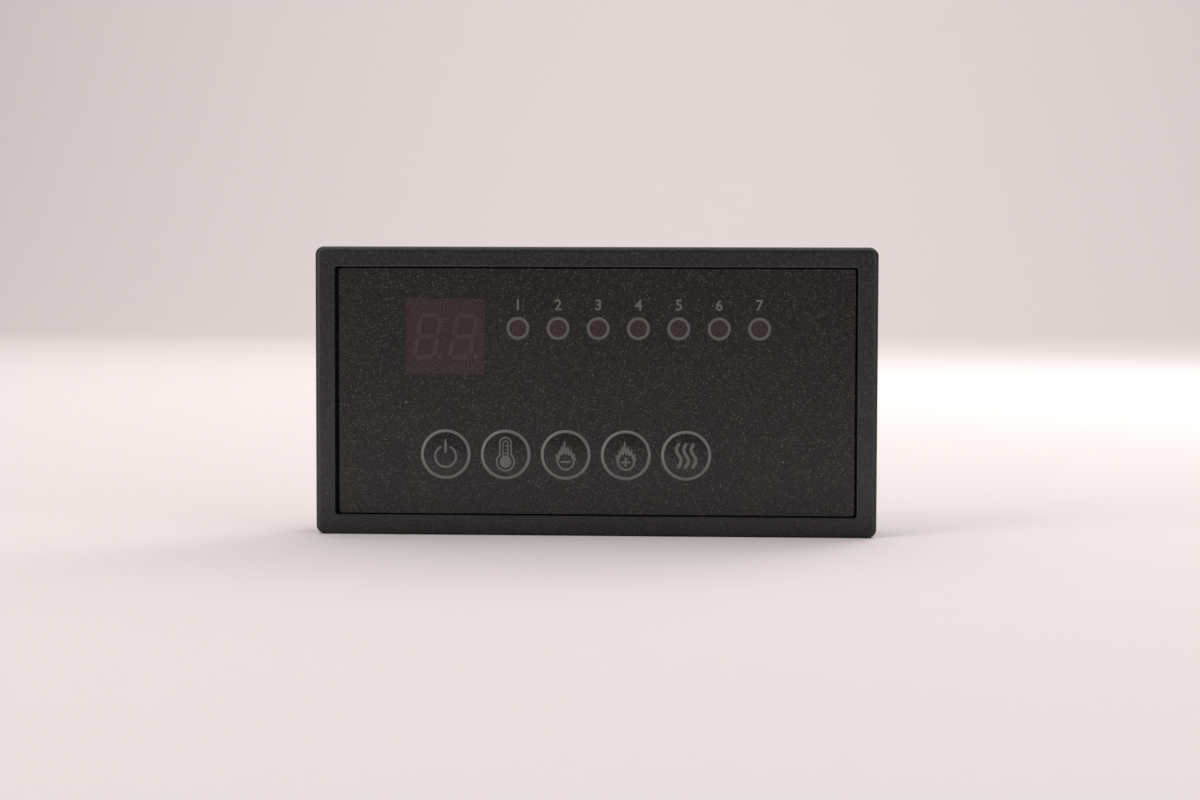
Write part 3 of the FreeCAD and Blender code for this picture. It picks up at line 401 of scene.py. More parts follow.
    def holder(self) -> bpy.types.Object:
        """Moves the shape into a scratch object."""
        bmesh.ops.recalc_face_normals(self.mesh, faces=self.mesh.faces)
        data = bpy.data.meshes.new("scratch")
        self.mesh.to_mesh(data)
        self.mesh.free()
        made = bpy.data.objects.new("scratch", data)
        bpy.context.scene.collection.objects.link(made)
        return made

    def soften(self, width: float, segments: int = 2, above: float = 30.0) -> "Shape":
        """Rounds every edge that is sharper than above degrees."""
        bmesh.ops.recalc_face_normals(self.mesh, faces=self.mesh.faces)
        sharp = [
            e for e in self.mesh.edges
            if len(e.link_faces) == 2 and e.calc_face_angle(0.0) > math.radians(above)
        ]
        bmesh.ops.bevel(
            self.mesh, geom=sharp, offset=width, segments=segments, profile=0.5,
            affect="EDGES", clamp_overlap=True,
        )
        return self

    def add(self, other: "Shape") -> "Shape":
        """Takes in another finished shape."""
        scratch = bpy.data.meshes.new("scratch")
        other.mesh.to_mesh(scratch)
        other.mesh.free()
        self.mesh.from_mesh(scratch)
        bpy.data.meshes.remove(scratch)
        return self

    def object(self, name: str, crease: float = CREASE_DEGREES) -> bpy.types.Object:
        """Makes the scene's object.

        Args:
            name: The object's name.
            crease: Edges sharper than this many degrees stay sharp in shading.

        Returns:
            The object, in metres, with its place in its mesh.
        """
        bmesh.ops.recalc_face_normals(self.mesh, faces=self.mesh.faces)
        bmesh.ops.scale(self.mesh, vec=(MM, MM, MM), verts=self.mesh.verts)
        data = bpy.data.meshes.new(name)
        self.mesh.to_mesh(data)
        self.mesh.free()
        data.shade_smooth()
        data.set_sharp_from_angle(angle=math.radians(crease))
        made = bpy.data.objects.new(name, data)
        bpy.context.scene.collection.objects.link(made)
        return made


@dataclass(frozen=True)
class Box:
    """A CAD node's box at rest, in millimetres."""

    low: tuple[float, float, float]
    high: tuple[float, float, float]

    @staticmethod
    def of(node: str) -> "Box":
        """The box of that node."""
        low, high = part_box(node)
        return Box(tuple(v / MM for v in low), tuple(v / MM for v in high))

    @property
    def x(self) -> float:
        """Its middle across."""
        return (self.low[0] + self.high[0]) / 2

    @property
    def z(self) -> float:
        """Its middle up."""
        return (self.low[2] + self.high[2]) / 2

    @property
    def front(self) -> float:
        """The depth of its front."""
        return self.low[1]

    @property
    def back(self) -> float:
        """The depth of its back."""
        return self.high[1]

    @property
    def width(self) -> float:
        """Its size across."""
        return self.high[0] - self.low[0]

    def outline(self, grown: float, corner: float, steps: int = 8) -> Outline:
        """Its outline in the face's plane with round corners, grown or, below 0, shrunk on every side."""
        return rounded(self.x, self.z, self.width + 2 * grown, self.height + 2 * grown, corner, steps)

    @property
    def upright(self) -> bool:
        """Whether the box is taller than it is wide."""
        return self.height > self.width

    @property
    def height(self) -> float:
        """Its size up."""
        return self.high[2] - self.low[2]


@cache
def solids(node: str) -> tuple[Box, ...]:
    """The boxes of a CAD node's separate solids, from left to right and then upwards."""
    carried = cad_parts[node]
    spots = [carried.matrix_world @ corner.co / MM for corner in carried.data.vertices]
    keys = [tuple(round(value, 3) for value in spot) for spot in spots]
    home = {key: key for key in keys}

    def root(key: Sequence[float]) -> Sequence[float]:
        """The corner that stands for the whole solid."""
        while home[key] != key:
            home[key] = home[home[key]]
            key = home[key]
        return key

    for polygon in carried.data.polygons:
        first = root(keys[polygon.vertices[0]])
        for index in polygon.vertices[1:]:
            home[root(keys[index])] = first
    groups: dict[Sequence[float], list[Sequence[float]]] = {}
    for key in home:
        groups.setdefault(root(key), []).append(key)
    boxes = [Box(tuple(map(min, zip(*group))), tuple(map(max, zip(*group)))) for group in groups.values()]
    return tuple(sorted(boxes, key=lambda box: (round(box.x, 1), box.z)))


# ----------------------------------------------------------------- materials


class Link:
    """A shader socket that can be used in Python expressions."""

    def __init__(self, tree: "Tree", socket: bpy.types.NodeSocket) -> None:
        """Wraps an output socket of that tree."""
        self.tree = tree
        self.socket = socket

    def _math(self, operation: str, left: "Link | float", right: "Link | float" = 0.0) -> "Link":
        """Adds one Math node."""
        return self.tree.add("ShaderNodeMath", {"operation": operation}, {0: left, 1: right})

    def __add__(self, other: "Link | float") -> "Link":
        """This value plus another."""
        return self._math("ADD", self, other)

    __radd__ = __add__

    def __sub__(self, other: "Link | float") -> "Link":
        """This value minus another."""
        return self._math("SUBTRACT", self, other)

    def __rsub__(self, other: "Link | float") -> "Link":
        """Another value minus this one."""
        return self._math("SUBTRACT", other, self)

    def __mul__(self, other: "Link | float") -> "Link":
        """This value times another."""
        return self._math("MULTIPLY", self, other)

    __rmul__ = __mul__

    def wave(self) -> "Link":
        """The sine of this value."""
        return self._math("SINE", self)

    def size(self) -> "Link":
        """This value without its sign."""
        return self._math("ABSOLUTE", self)

    def stepped(self, low: float, high: float) -> "Link":
        """0 below low, 1 above high and smooth between them."""
        settings = {"interpolation_type": "SMOOTHSTEP", "clamp": True}
        inputs = {"Value": self, 1: low, 2: high, 3: 0.0, 4: 1.0}
        return self.tree.add("ShaderNodeMapRange", settings, inputs)


class Tree:
    """The node tree of one material."""

    def __init__(self, name: str) -> None:
        """Starts a material with no nodes."""
        self.material = bpy.data.materials.new(name)
        self.material.use_nodes = True
        self.graph = self.material.node_tree
        self.graph.nodes.clear()

    def add(
        self,
        kind: str,
        settings: dict[str, object] | None = None,
        inputs: dict[str | int, object] | None = None,
        output: str | int = 0,
    ) -> Link:
        """Adds a node.

        Args:
            kind: The node's type.
            settings: Its settings, which are set first.
            inputs: A number, colour or link for each socket, by index, name or identifier.
            output: Which output to return.

        Returns:
            That output.
        """
        node = self.graph.nodes.new(kind)
        for key, value in (settings or {}).items():
            setattr(node, key, value)
        for key, value in (inputs or {}).items():
            socket = self._socket(node.inputs, key)
            if isinstance(value, Link):
                self.graph.links.new(value.socket, socket)
            else:
                socket.default_value = value
        return Link(self, self._socket(node.outputs, output))

    @staticmethod
    def _socket(sockets: bpy.types.bpy_prop_collection, key: str | int) -> bpy.types.NodeSocket:
        """The socket with that index, identifier or name."""
        if isinstance(key, int):
            return sockets[key]
        return next((s for s in sockets if s.identifier == key), None) or sockets[key]

    def place(self) -> Link:
        """The point on the object, in millimetres."""
        spot = self.add("ShaderNodeTexCoord", output="Object")
        scale = 1.0 / MM
        return self.add("ShaderNodeVectorMath", {"operation": "SCALE"}, {0: spot, "Scale": scale})

    def stretched(self, spot: Link, factors: Colour) -> Link:
        """A point with each of its coordinates multiplied."""
        return self.add("ShaderNodeVectorMath", {"operation": "MULTIPLY"}, {0: spot, 1: factors})

    def part(self, spot: Link, axis: str) -> Link:
        """One coordinate of a point or a direction."""
        return self.add("ShaderNodeSeparateXYZ", inputs={0: spot}, output=axis)

    def facing(self, axis: str) -> Link:
        """One coordinate of the surface's own direction."""
        return self.part(self.add("ShaderNodeTexCoord", output="Normal"), axis)

    def noise(self, spot: Link, grain: float, detail: float = 2.0, roughness: float = 0.5) -> Link:
        """Smooth noise about 0.5 whose features are grain millimetres across."""
        inputs = {"Vector": spot, "Scale": 1.0 / grain, "Detail": detail, "Roughness": roughness}
        return self.add("ShaderNodeTexNoise", inputs=inputs)

    def cells(self, spot: Link, grain: float) -> Link:
        """Distance to the middle of the nearest of scattered cells, in cells grain millimetres across."""
        inputs = {"Vector": spot, "Scale": 1.0 / grain}
        return self.add("ShaderNodeTexVoronoi", inputs=inputs, output="Distance")

    def mix(self, share: Link | float, first: object, second: object) -> Link:
        """A colour between two colours."""
        inputs = {"Factor_Float": share, "A_Color": _colour(first), "B_Color": _colour(second)}
        settings = {"data_type": "RGBA", "clamp_factor": True}
        return self.add("ShaderNodeMix", settings, inputs, "Result_Color")

    def bump(self, height: Link, depth: float) -> Link:
        """A direction tilted by a relief.

        Args:
            height: The relief, 0 to 1.
            depth: How deep the relief is, in millimetres.

        Returns:
            The direction for a shader's Normal.
        """
        inputs = {"Strength": 1.0, "Distance": depth * MM, "Height": height}
        return self.add("ShaderNodeBump", inputs=inputs)

    def surface(self, base: Link, gloss: Link | float, normal: Link, **fixed: float) -> bpy.types.Material:
        """Ends the tree in one surface.

        Args:
            base: Its colour.
            gloss: Its roughness.
            normal: Its direction, tilted by the relief.
            fixed: Numbers for sockets that are the same all over, with _ for a space.

        Returns:
            The finished material.
        """
        inputs = {"Base Color": base, "Roughness": gloss, "Normal": normal}
        inputs |= {name.replace("_", " "): value for name, value in fixed.items()}
        shader = self.add("ShaderNodeBsdfPrincipled", inputs=inputs)
        self.add_output(shader)
        return self.material

    def add_output(self, shader: Link) -> None:
        """Sends a shader to the material's surface."""
        node = self.graph.nodes.new("ShaderNodeOutputMaterial")
        self.graph.links.new(shader.socket, node.inputs["Surface"])


def toned(colour: Colour, by: float, plus: float = 0.0) -> Colour:
    """A colour made lighter or darker, no brighter than white."""
    return tuple(min(1.0, channel * by + plus) for channel in colour)


def _colour(value: object) -> object:
    """A colour with its fourth number, or the value as it is."""
    return (*value, 1.0) if isinstance(value, tuple) and len(value) == 3 else value


@dataclass(frozen=True)
class Finish:
    """What every finish has: a name and a way to make its material."""

    name: str

    def make(self, tree: Tree) -> bpy.types.Material:
        """Fills the tree."""
        raise NotImplementedError

    def material(self) -> bpy.types.Material:
        """The finish's material, made once."""
        return _made(self)


@cache
def _made(finish: Finish) -> bpy.types.Material:
    """One material for each different finish."""
    return finish.make(Tree(finish.name))


@dataclass(frozen=True)
class MouldedPlastic(Finish):
    """A moulded plastic with a fine spark-eroded grain, faint flow marks and light handling wear."""

    colour: Colour
    grain: float = 0.35
    depth: float = 0.012
    rough: float = 0.5
    mottle: float = 0.12
    scuffs: float = 0.25
    dust: float = 0.0
    shine: float = 0.5
    sparkle: float = 0.0

    def make(self, tree: Tree) -> bpy.types.Material:
        """Mottled colour, painted glints on the grain's peaks, grain in the relief, and scuffs and dust in
        colour and gloss.
        """
        spot = tree.place()
        broad = tree.noise(spot, 14.0, 3.0)
        fine = tree.noise(spot, self.grain, 3.0, 0.6)
        flow = tree.noise(tree.stretched(spot, (0.03, 0.3, 0.9)), 1.0, 2.0)
        scratch = tree.noise(tree.stretched(spot, (0.12, 1.0, 2.6)), 1.0, 4.0, 0.7).stepped(0.66, 0.8)
        speck = 1.0 - tree.cells(spot, 5.5).stepped(0.012, 0.024)
        light = toned(self.colour, 1 + 2 * self.mottle, 0.002)
        dark = toned(self.colour, 1 - self.mottle)
        worn = toned(self.colour, 1.8, 0.018)
        base = tree.mix(broad * 0.3 + flow * 0.1 + fine.stepped(0.32, 0.68) * 0.6, dark, light)
        # Painted glints: the peaks of the fine grain lightened towards a pale grey.
        base = tree.mix(fine.stepped(0.56, 0.72) * self.sparkle, base, (0.34, 0.32, 0.32))
        base = tree.mix(scratch * self.scuffs, base, worn)
        base = tree.mix(speck * self.dust, base, (0.5, 0.48, 0.46))
        gloss = self.rough + (broad - 0.5) * 0.12 + (fine - 0.5) * 0.1 - scratch * 0.08 * self.scuffs
        normal = tree.bump(fine * 0.8 + flow * 0.2, self.depth)
        return tree.surface(base, gloss, normal, Specular_IOR_Level=self.shine)


@dataclass(frozen=True)
class FilmPrint(Finish):
    """Fine-grained satin film printed on its back: a dull ground with painted shade in the pits of its
    grain and tiny painted glints.
    """

    colour: Colour
    warm: Colour
    fleck: float = 0.105
    grain: float = 0.34
    depth: float = 0.020
    rough: float = 0.36
    solid: float = 1.0
    shine: float = 0.26
    pits: float = 0.15

    def make(self, tree: Tree) -> bpy.types.Material:
        """Warm blotches in the ground, painted shade in the grain's pits and painted glints in the colour,
        and the grain in the relief.
        """
        spot = tree.place()
        blotch = tree.noise(spot, 9.0, 4.0, 0.6)
        grit = tree.noise(spot, self.grain, 2.0, 0.7)
        coarse = tree.noise(spot, self.grain * 2.6, 2.0, 0.6)
        bright = 1.0 - tree.cells(spot, self.grain * 1.35).stepped(0.12, 0.40)
        painted_glint_flecks = bright * coarse.stepped(0.36, 0.62)
        stray = 1.0 - tree.cells(spot, 7.5).stepped(0.014, 0.026)
        base = tree.mix(blotch.stepped(0.35, 0.65), self.colour, self.warm)
        # Painted shade: the colour darkened where the grain's relief is low.
        shade = toned(self.colour, self.pits)
        base = tree.mix(grit.stepped(0.38, 0.54), shade, base)
        # Painted glints: scattered flecks lightened towards a pale grey.
        base = tree.mix(painted_glint_flecks * self.fleck, base, (0.60, 0.55, 0.53))
        base = tree.mix(stray * 0.35, base, (0.55, 0.52, 0.50))
        gloss = self.rough + (coarse - 0.5) * 0.14 - painted_glint_flecks * 0.10
        normal = tree.bump(grit * 0.7 + coarse * 0.3, self.depth)
        return tree.surface(base, gloss, normal, Alpha=self.solid, Specular_IOR_Level=self.shine)


@dataclass(frozen=True)
class Ink(Finish):
    """Printed ink that takes on the grain of the film over it."""

    colour: Colour
    patchy: float = 0.25
    grain: float = 0.22
    rough: float = 0.48
    depth: float = 0.008
    shine: float = 0.5

    def make(self, tree: Tree) -> bpy.types.Material:
        """Uneven cover and the film's grain."""
        spot = tree.place()
        grit = tree.noise(spot, self.grain, 2.0, 0.7)
        cover = tree.noise(spot, 1.3, 3.0, 0.6)
        thin = toned(self.colour, 1 - self.patchy)
        full = toned(self.colour, 1 + self.patchy * 0.6)
        base = tree.mix(cover * 0.5 + grit * 0.5, thin, full)
        gloss = self.rough + (grit - 0.5) * 0.2
        return tree.surface(base, gloss, tree.bump(grit, self.depth), Specular_IOR_Level=self.shine)


@dataclass(frozen=True)
class DisplayFace(Finish):
    """A display's body: glossy black plastic whose front is painted with a dull grey."""

    body: Colour
    paint: Colour
    front: float

    def make(self, tree: Tree) -> bpy.types.Material:
        """Grey paint on the front, thinner at its edges, and black on the sides."""
        spot = tree.place()
        grit = tree.noise(spot, 0.18, 3.0, 0.6)
        flow = tree.noise(spot, 3.0, 3.0)
        depth = tree.part(spot, "Y")
        painted = 1.0 - depth.stepped(self.front + 0.04, self.front + 0.12)
        ground = tree.mix(flow * 0.6 + grit * 0.4, toned(self.paint, 0.85), self.paint)
        black = tree.mix(grit, toned(self.body, 0.7), toned(self.body, 1.3))
        base = tree.mix(painted, black, ground)
        gloss = 0.34 + painted * 0.3 + (grit - 0.5) * 0.1
        return tree.surface(base, gloss, tree.bump(grit, 0.006))


@dataclass(frozen=True)
class CastResin(Finish):
    """Milky or tinted epoxy with slow swirls and a few tiny bubbles."""

    colour: Colour
    swirl: Colour
    rough: float = 0.25

    def make(self, tree: Tree) -> bpy.types.Material:
        """Swirls and bubbles in the colour, a smooth surface."""
        spot = tree.place()
        swirl = tree.noise(spot, 1.6, 3.0, 0.6)
        bubble = 1.0 - tree.cells(spot, 0.9).stepped(0.03, 0.07)
        base = tree.mix(swirl.stepped(0.35, 0.65), self.colour, self.swirl)
        base = tree.mix(bubble * 0.3, base, toned(self.swirl, 1.5, 0.05))
        gloss = self.rough + (swirl - 0.5) * 0.08 + bubble * 0.1
        return tree.surface(base, gloss, tree.bump(swirl, 0.01), Coat_Weight=0.4, Coat_Roughness=0.08)


@dataclass(frozen=True)
class Metal(Finish):
    """A drawn, stamped or plated metal, with its lines along one direction and dull patches."""

    colour: Colour
    lines: Colour = (1.0, 1.0, 1.0)
    grain: float = 0.12
    depth: float = 0.004
    rough: float = 0.3
    tarnish: float = 0.2

    def make(self, tree: Tree) -> bpy.types.Material:
        """Fine lines in the relief and gloss, and tarnish in the colour."""
        spot = tree.place()
        drawn = tree.noise(tree.stretched(spot, self.lines), self.grain, 3.0, 0.6)
        patch = tree.noise(spot, 1.8, 4.0, 0.6)
        dull = toned(self.colour, 0.62)
        base = tree.mix(patch.stepped(0.45, 0.75) * self.tarnish, self.colour, dull)
        base = tree.mix(drawn * 0.25, base, toned(self.colour, 0.8))
        gloss = self.rough + (drawn - 0.5) * 0.16 + (patch - 0.5) * self.tarnish * 0.6
        return tree.surface(base, gloss, tree.bump(drawn, self.depth), Metallic=1.0)


@dataclass(frozen=True)
class Laminate(Finish):
    """Glass-epoxy board: a glossy tinted mask on its faces, with the weave just showing, and raw edges."""

    mask: Colour
    raw: Colour = (0.30, 0.27, 0.13)
    weave: float = 0.55
    plies: float = 0.2

    def make(self, tree: Tree) -> bpy.types.Material:
        """The mask with its weave on the faces, and the glass plies on the edges."""
        spot = tree.place()
        across, depth, up = (tree.part(spot, axis) for axis in "XYZ")
        turn = 2 * math.pi / self.weave
        cloth = (across * turn).wave() * (up * turn).wave() * 0.5 + 0.5
        cloudy = tree.noise(spot, 7.0, 4.0, 0.6)
        grit = tree.noise(spot, 0.25, 3.0, 0.6)
        thin = toned(self.mask, 1.35, 0.004)
        thick = toned(self.mask, 0.72)
        face = tree.mix(cloth * 0.35 + cloudy * 0.5 + grit * 0.15, thick, thin)
        ply = (depth * (2 * math.pi / self.plies)).wave() * 0.5 + 0.5
        edge = tree.mix(ply * 0.6 + grit * 0.4, toned(self.raw, 0.6), self.raw)
        flat = tree.facing("Y").size().stepped(0.35, 0.65)
        base = tree.mix(flat, edge, face)
        gloss = 0.62 - flat * 0.32 + (cloudy - 0.5) * 0.1
        normal = tree.bump(cloth * 0.5 + grit * 0.5, 0.012)
        return tree.surface(base, gloss, normal)


@dataclass(frozen=True)
class StudioPaper(Finish):
    """The pale matt surface that the timer stands on."""

    colour: Colour

    def make(self, tree: Tree) -> bpy.types.Material:
        """A faint fibre in the colour and the relief."""
        spot = tree.place()
        fibre = tree.noise(spot, 3.0, 4.0, 0.6)
        base = tree.mix(fibre, toned(self.colour, 0.985), self.colour)
        return tree.surface(base, 0.85, tree.bump(fibre, 0.02))


class Look:
    """The finishes of the timer, by the name of what wears them."""

    BEZEL = MouldedPlastic("bezel_moulding", (0.0076, 0.0066, 0.0068), grain=0.58, depth=0.05, rough=0.37,
                           mottle=0.75, scuffs=0.25, dust=0.4, shine=0.37, sparkle=0.045)
    FILM = FilmPrint("film_ground", (0.0125, 0.0108, 0.0106), (0.0160, 0.0118, 0.0110))
    WINDOW = FilmPrint("film_window", (0.0370, 0.0235, 0.0222), (0.0420, 0.0260, 0.0235), fleck=0.03,
                       depth=0.006, solid=0.62, pits=0.93)
    LAMP_WINDOW = FilmPrint("film_lamp_window", (0.0340, 0.0215, 0.0190), (0.0380, 0.0230, 0.0200),
                            fleck=0.03, depth=0.006, solid=0.84, pits=0.88)
    MARKS = Ink("film_marks", (0.086, 0.075, 0.074))
    # Printed ink, lighter than the same ink on the lamp rings: a painted highlight for the light the
    # embossed slope catches.
    RINGS = Ink("key_ring_ink_and_painted_highlight", (0.112, 0.100, 0.099), rough=0.40)
    LAMP_RINGS = Ink("lamp_rings", (0.068, 0.060, 0.059))
    # Near-black and dull: the adhesive under the film, and the painted shade in the gap round the film.
    ADHESIVE = Ink("adhesive_and_gap_shade", (0.0022, 0.0020, 0.0020), grain=0.8, rough=0.85, shine=0.05)
    DISPLAY = DisplayFace("display_body", (0.010, 0.010, 0.011), (0.16, 0.13, 0.125), -1.52)
    BARS = CastResin("display_light_bars", (0.62, 0.44, 0.40), (0.70, 0.52, 0.48), rough=0.5)
    LAMP = CastResin("lamp_resin", (0.42, 0.035, 0.02), (0.50, 0.06, 0.03), rough=0.15)
    SWITCH = MouldedPlastic("switch_moulding", (0.016, 0.016, 0.017), grain=0.2, depth=0.008, rough=0.55)
    SPRING = Metal("stamped_spring_steel", (0.62, 0.61, 0.59), (0.3, 1.0, 2.5), rough=0.28)
    BOARD = Laminate("board_mask", (0.006, 0.058, 0.021))
    TRACE = Laminate("board_mask_over_copper", (0.024, 0.165, 0.055))
    LEGEND = Ink("board_legend", (0.72, 0.72, 0.68), patchy=0.12, grain=0.12, rough=0.6)
    TIN = Metal("tin_plating", (0.66, 0.65, 0.62), (1.0, 0.5, 1.0), grain=0.18, depth=0.006, rough=0.36)
    SOLDER = Metal("solder", (0.70, 0.69, 0.67), grain=0.5, depth=0.012, rough=0.24, tarnish=0.35)
    CHIP = MouldedPlastic("chip_moulding", (0.014, 0.014, 0.015), grain=0.16, depth=0.010, rough=0.62,
                          mottle=0.25, scuffs=0.15)
    TAN = MouldedPlastic("capacitor_ceramic", (0.36, 0.22, 0.12), grain=0.22, depth=0.006, rough=0.5)
    WHITE = MouldedPlastic("resistor_ceramic", (0.68, 0.66, 0.62), grain=0.22, depth=0.006, rough=0.55)
    COAT = CastResin("resistor_coat", (0.012, 0.012, 0.013), (0.020, 0.020, 0.022), rough=0.3)
    CRYSTAL = Metal("crystal_can", (0.66, 0.64, 0.60), (0.15, 1.0, 1.0), grain=0.3, rough=0.26)
    GLASS = CastResin("crystal_glass_seal", (0.05, 0.035, 0.025), (0.08, 0.05, 0.03), rough=0.12)
    ALUMINIUM = Metal("drawn_aluminium", (0.74, 0.75, 0.76), (1.0, 0.12, 1.0), grain=0.2, rough=0.30)
    SEAL = MouldedPlastic("capacitor_foot", (0.018, 0.017, 0.017), grain=0.3, depth=0.012, rough=0.6)
    BUZZER = MouldedPlastic("buzzer_moulding", (0.015, 0.014, 0.015), grain=0.25, depth=0.012, rough=0.5)
    NYLON = MouldedPlastic("header_nylon", (0.74, 0.70, 0.60), grain=0.5, depth=0.010, rough=0.42,
                           mottle=0.06, scuffs=0.2)
    SCREW = Metal("plated_screw", (0.60, 0.60, 0.58), (0.6, 2.0, 0.6), grain=0.25, depth=0.008, rough=0.30,
                  tarnish=0.35)
    PAPER = StudioPaper("studio_paper", (0.785, 0.712, 0.700))


def place(
    shape: Shape,
    name: str,
    finish: Finish,
    slot: Slot,
    replaced: Sequence[str] = (),
    body: str | None = HOUSING,
) -> bpy.types.Object:
    """Makes a shape into a finished piece of the timer.

    Args:
        shape: The piece's mesh.
        name: The piece's name.
        finish: Its finish.
        slot: The record's slot for its finish; not used.
        replaced: The CAD nodes that it stands for.
        body: The body that it rides on, or None for a piece on no body.

    Returns:
        The piece.
    """
    piece = shape.object(name)
    piece.data.materials.append(finish.material())
    if body:
        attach(piece, body)
    if replaced:
        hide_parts(*replaced)
    log.info("%s: %d faces, %s", name, len(piece.data.polygons), finish.name)
    return piece


def dress(finish: Finish, *nodes: str) -> None:
    """Gives CAD nodes whose shape stays a finish of their own."""
    for node in nodes:
        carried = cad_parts[node]
        carried.data.materials.clear()
        carried.data.materials.append(finish.material())
        log.info("%s: carried over, %s", node, finish.name)


@dataclass
class Softbox:
    """A diffused lamp aimed at a point; stretch is its length over its width."""

    name: str
    place: tuple[float, float, float]
    size: float
    power: float
    tint: Colour = (1.0, 1.0, 1.0)
    aim: tuple[float, float, float] = (0.0, 0.0, 0.0)
    shown: bool = True
    stretch: float = 1.0

    def build(self) -> None:
        """Adds the lamp."""
        data = bpy.data.lights.new(self.name, "AREA")
        data.shape = "RECTANGLE"
        data.size = self.size * self.stretch * MM
        data.size_y = self.size * MM
        data.energy = self.power
        data.color = self.tint
        lamp = bpy.data.objects.new(self.name, data)
        lamp.location = Vector(self.place) * MM
        lamp.visible_camera = self.shown
        direction = Vector(self.aim) - Vector(self.place)
        lamp.rotation_euler = direction.to_track_quat("-Z", "Y").to_euler()
        bpy.context.scene.collection.objects.link(lamp)


@dataclass
class Studio:
    """The camera, a pale floor that sweeps up behind, and soft lamps."""

    lens: float = 75.0
    sensor: float = 36.0
    azimuth: float = math.radians(3.14)
    elevation: float = math.radians(3.22)
    roll: float = math.radians(0.144)
    aim: tuple[float, float, float] = (0.98, -1.2, -1.65)
    distance: float = 498.0
    floor_half_width: float = 2600.0
    floor_front: float = -2600.0
    sweep_start: float = 1300.0
    sweep_radius: float = 420.0
    wall_top: float = 2200.0
    floor_crease: float = 60.0
    nearest: float = 0.01
    farthest: float = 20.0
    sky: Colour = (0.08, 0.078, 0.078)

    def camera(self) -> None:
        """Adds the camera and makes it the scene's."""
        data = bpy.data.cameras.new("camera")
        data.lens = self.lens
        data.sensor_width = self.sensor
        data.clip_start = self.nearest
        data.clip_end = self.farthest
        cos_e, sin_e = math.cos(self.elevation), math.sin(self.elevation)
        sight = Vector((-math.sin(self.azimuth) * cos_e, math.cos(self.azimuth) * cos_e, -sin_e))
        right = Vector((math.cos(self.azimuth), math.sin(self.azimuth), 0.0))
        up = right.cross(sight)
        cos_r, sin_r = math.cos(self.roll), math.sin(self.roll)
        rolled_right = right * cos_r + up * sin_r
        rolled_up = up * cos_r - right * sin_r
        camera = bpy.data.objects.new("camera", data)
        camera.location = (Vector(self.aim) - sight * self.distance) * MM
        axes = (rolled_right, rolled_up, -sight)
        matrix = camera.matrix_world.to_3x3()
        for column, axis in enumerate(axes):
            for row in range(3):
                matrix[row][column] = axis[row]
        camera.rotation_mode = "QUATERNION"
        camera.rotation_quaternion = matrix.to_quaternion()
        bpy.context.scene.collection.objects.link(camera)
        bpy.context.scene.camera = camera

    def floor(self) -> None:
        """Adds the floor and the sweep behind it, at the height of the timer's lowest point."""
        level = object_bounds()[0].z / MM
        centre = (self.sweep_start, level + self.sweep_radius)
        side = [(self.floor_front, level)]
        side += arc(centre[0], centre[1], self.sweep_radius, -90.0, 0.0, 24)
        side += [(side[-1][0], self.wall_top)]
        shape = Shape()
        near = shape.ring((-self.floor_half_width, y, z) for y, z in side)
        far = shape.ring((self.floor_half_width, y, z) for y, z in side)
        for i in range(len(side) - 1):
            shape.face((near[i], far[i], far[i + 1], near[i + 1]))
        sheet = shape.object("studio_floor", self.floor_crease)
        sheet.data.materials.append(Look.PAPER.material())
        sheet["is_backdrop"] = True

    def lights(self) -> None:
        """Adds the lamps and the dim room around them."""
        scene = bpy.context.scene
        scene.view_settings.view_transform = "Standard"
        scene.view_settings.look = "None"
        world = bpy.data.worlds.new("room")
        scene.world = world
        world.use_nodes = True
        world.node_tree.nodes["Background"].inputs["Color"].default_value = (*self.sky, 1.0)
        for lamp in (
            Softbox("overhead_light", (0.0, 330.0, 850.0), 1800.0, 13.0, aim=(0.0, 330.0, 0.0)),
            Softbox("wall_light", (0.0, 900.0, 1100.0), 900.0, 6.0, aim=(0.0, 1720.0, 480.0)),
            Softbox("left_light", (-820.0, -620.0, 230.0), 800.0, 4.8, (1.0, 0.97, 0.95)),
            Softbox("right_light", (840.0, -720.0, 260.0), 800.0, 2.6, (0.97, 0.98, 1.0)),
            Softbox("glint_light", (-330.0, -330.0, 520.0), 60.0, 0.35),
            Softbox("floor_light", (0.0, -92.0, -28.2), 140.0, 0.18, aim=(0.0, -92.0, 100.0), shown=False,
                    stretch=3.0),
            Softbox("back_light", (420.0, 620.0, 420.0), 420.0, 2.0),
        ):
            lamp.build()


@dataclass
class KeySurface:
    """The embossed face of a key as a height over the film around it."""

    edge: float = 5.0
    crest: float = 4.5
    crest_height: float = 0.23
    dome_height: float = 0.30
    film_front: float = -2.0

    def height(self, radius: float) -> float:
        """How far the face stands proud of the film at a radius."""
        if radius >= self.edge:
            return 0.0
        if radius >= self.crest:
            t = (self.edge - radius) / (self.edge - self.crest)
            return self.crest_height * t * t * (3 - 2 * t)
        return self.crest_height + self.dome_height * (1 - (radius / self.crest) ** 2)

    def depth(self, x: float, z: float, shift: float = 0.0) -> float:
        """The depth of the face at (x, z) from the key's middle, moved back by shift."""
        return self.film_front - self.height(math.hypot(x, z)) + shift


class Sign(Enum):
    """The marks printed on the keys."""

    POWER = "power"
    THERMOMETER = "temperature"
    LESS_HEAT = "flame_down"
    MORE_HEAT = "flame_up"
    WARMTH = "heat"


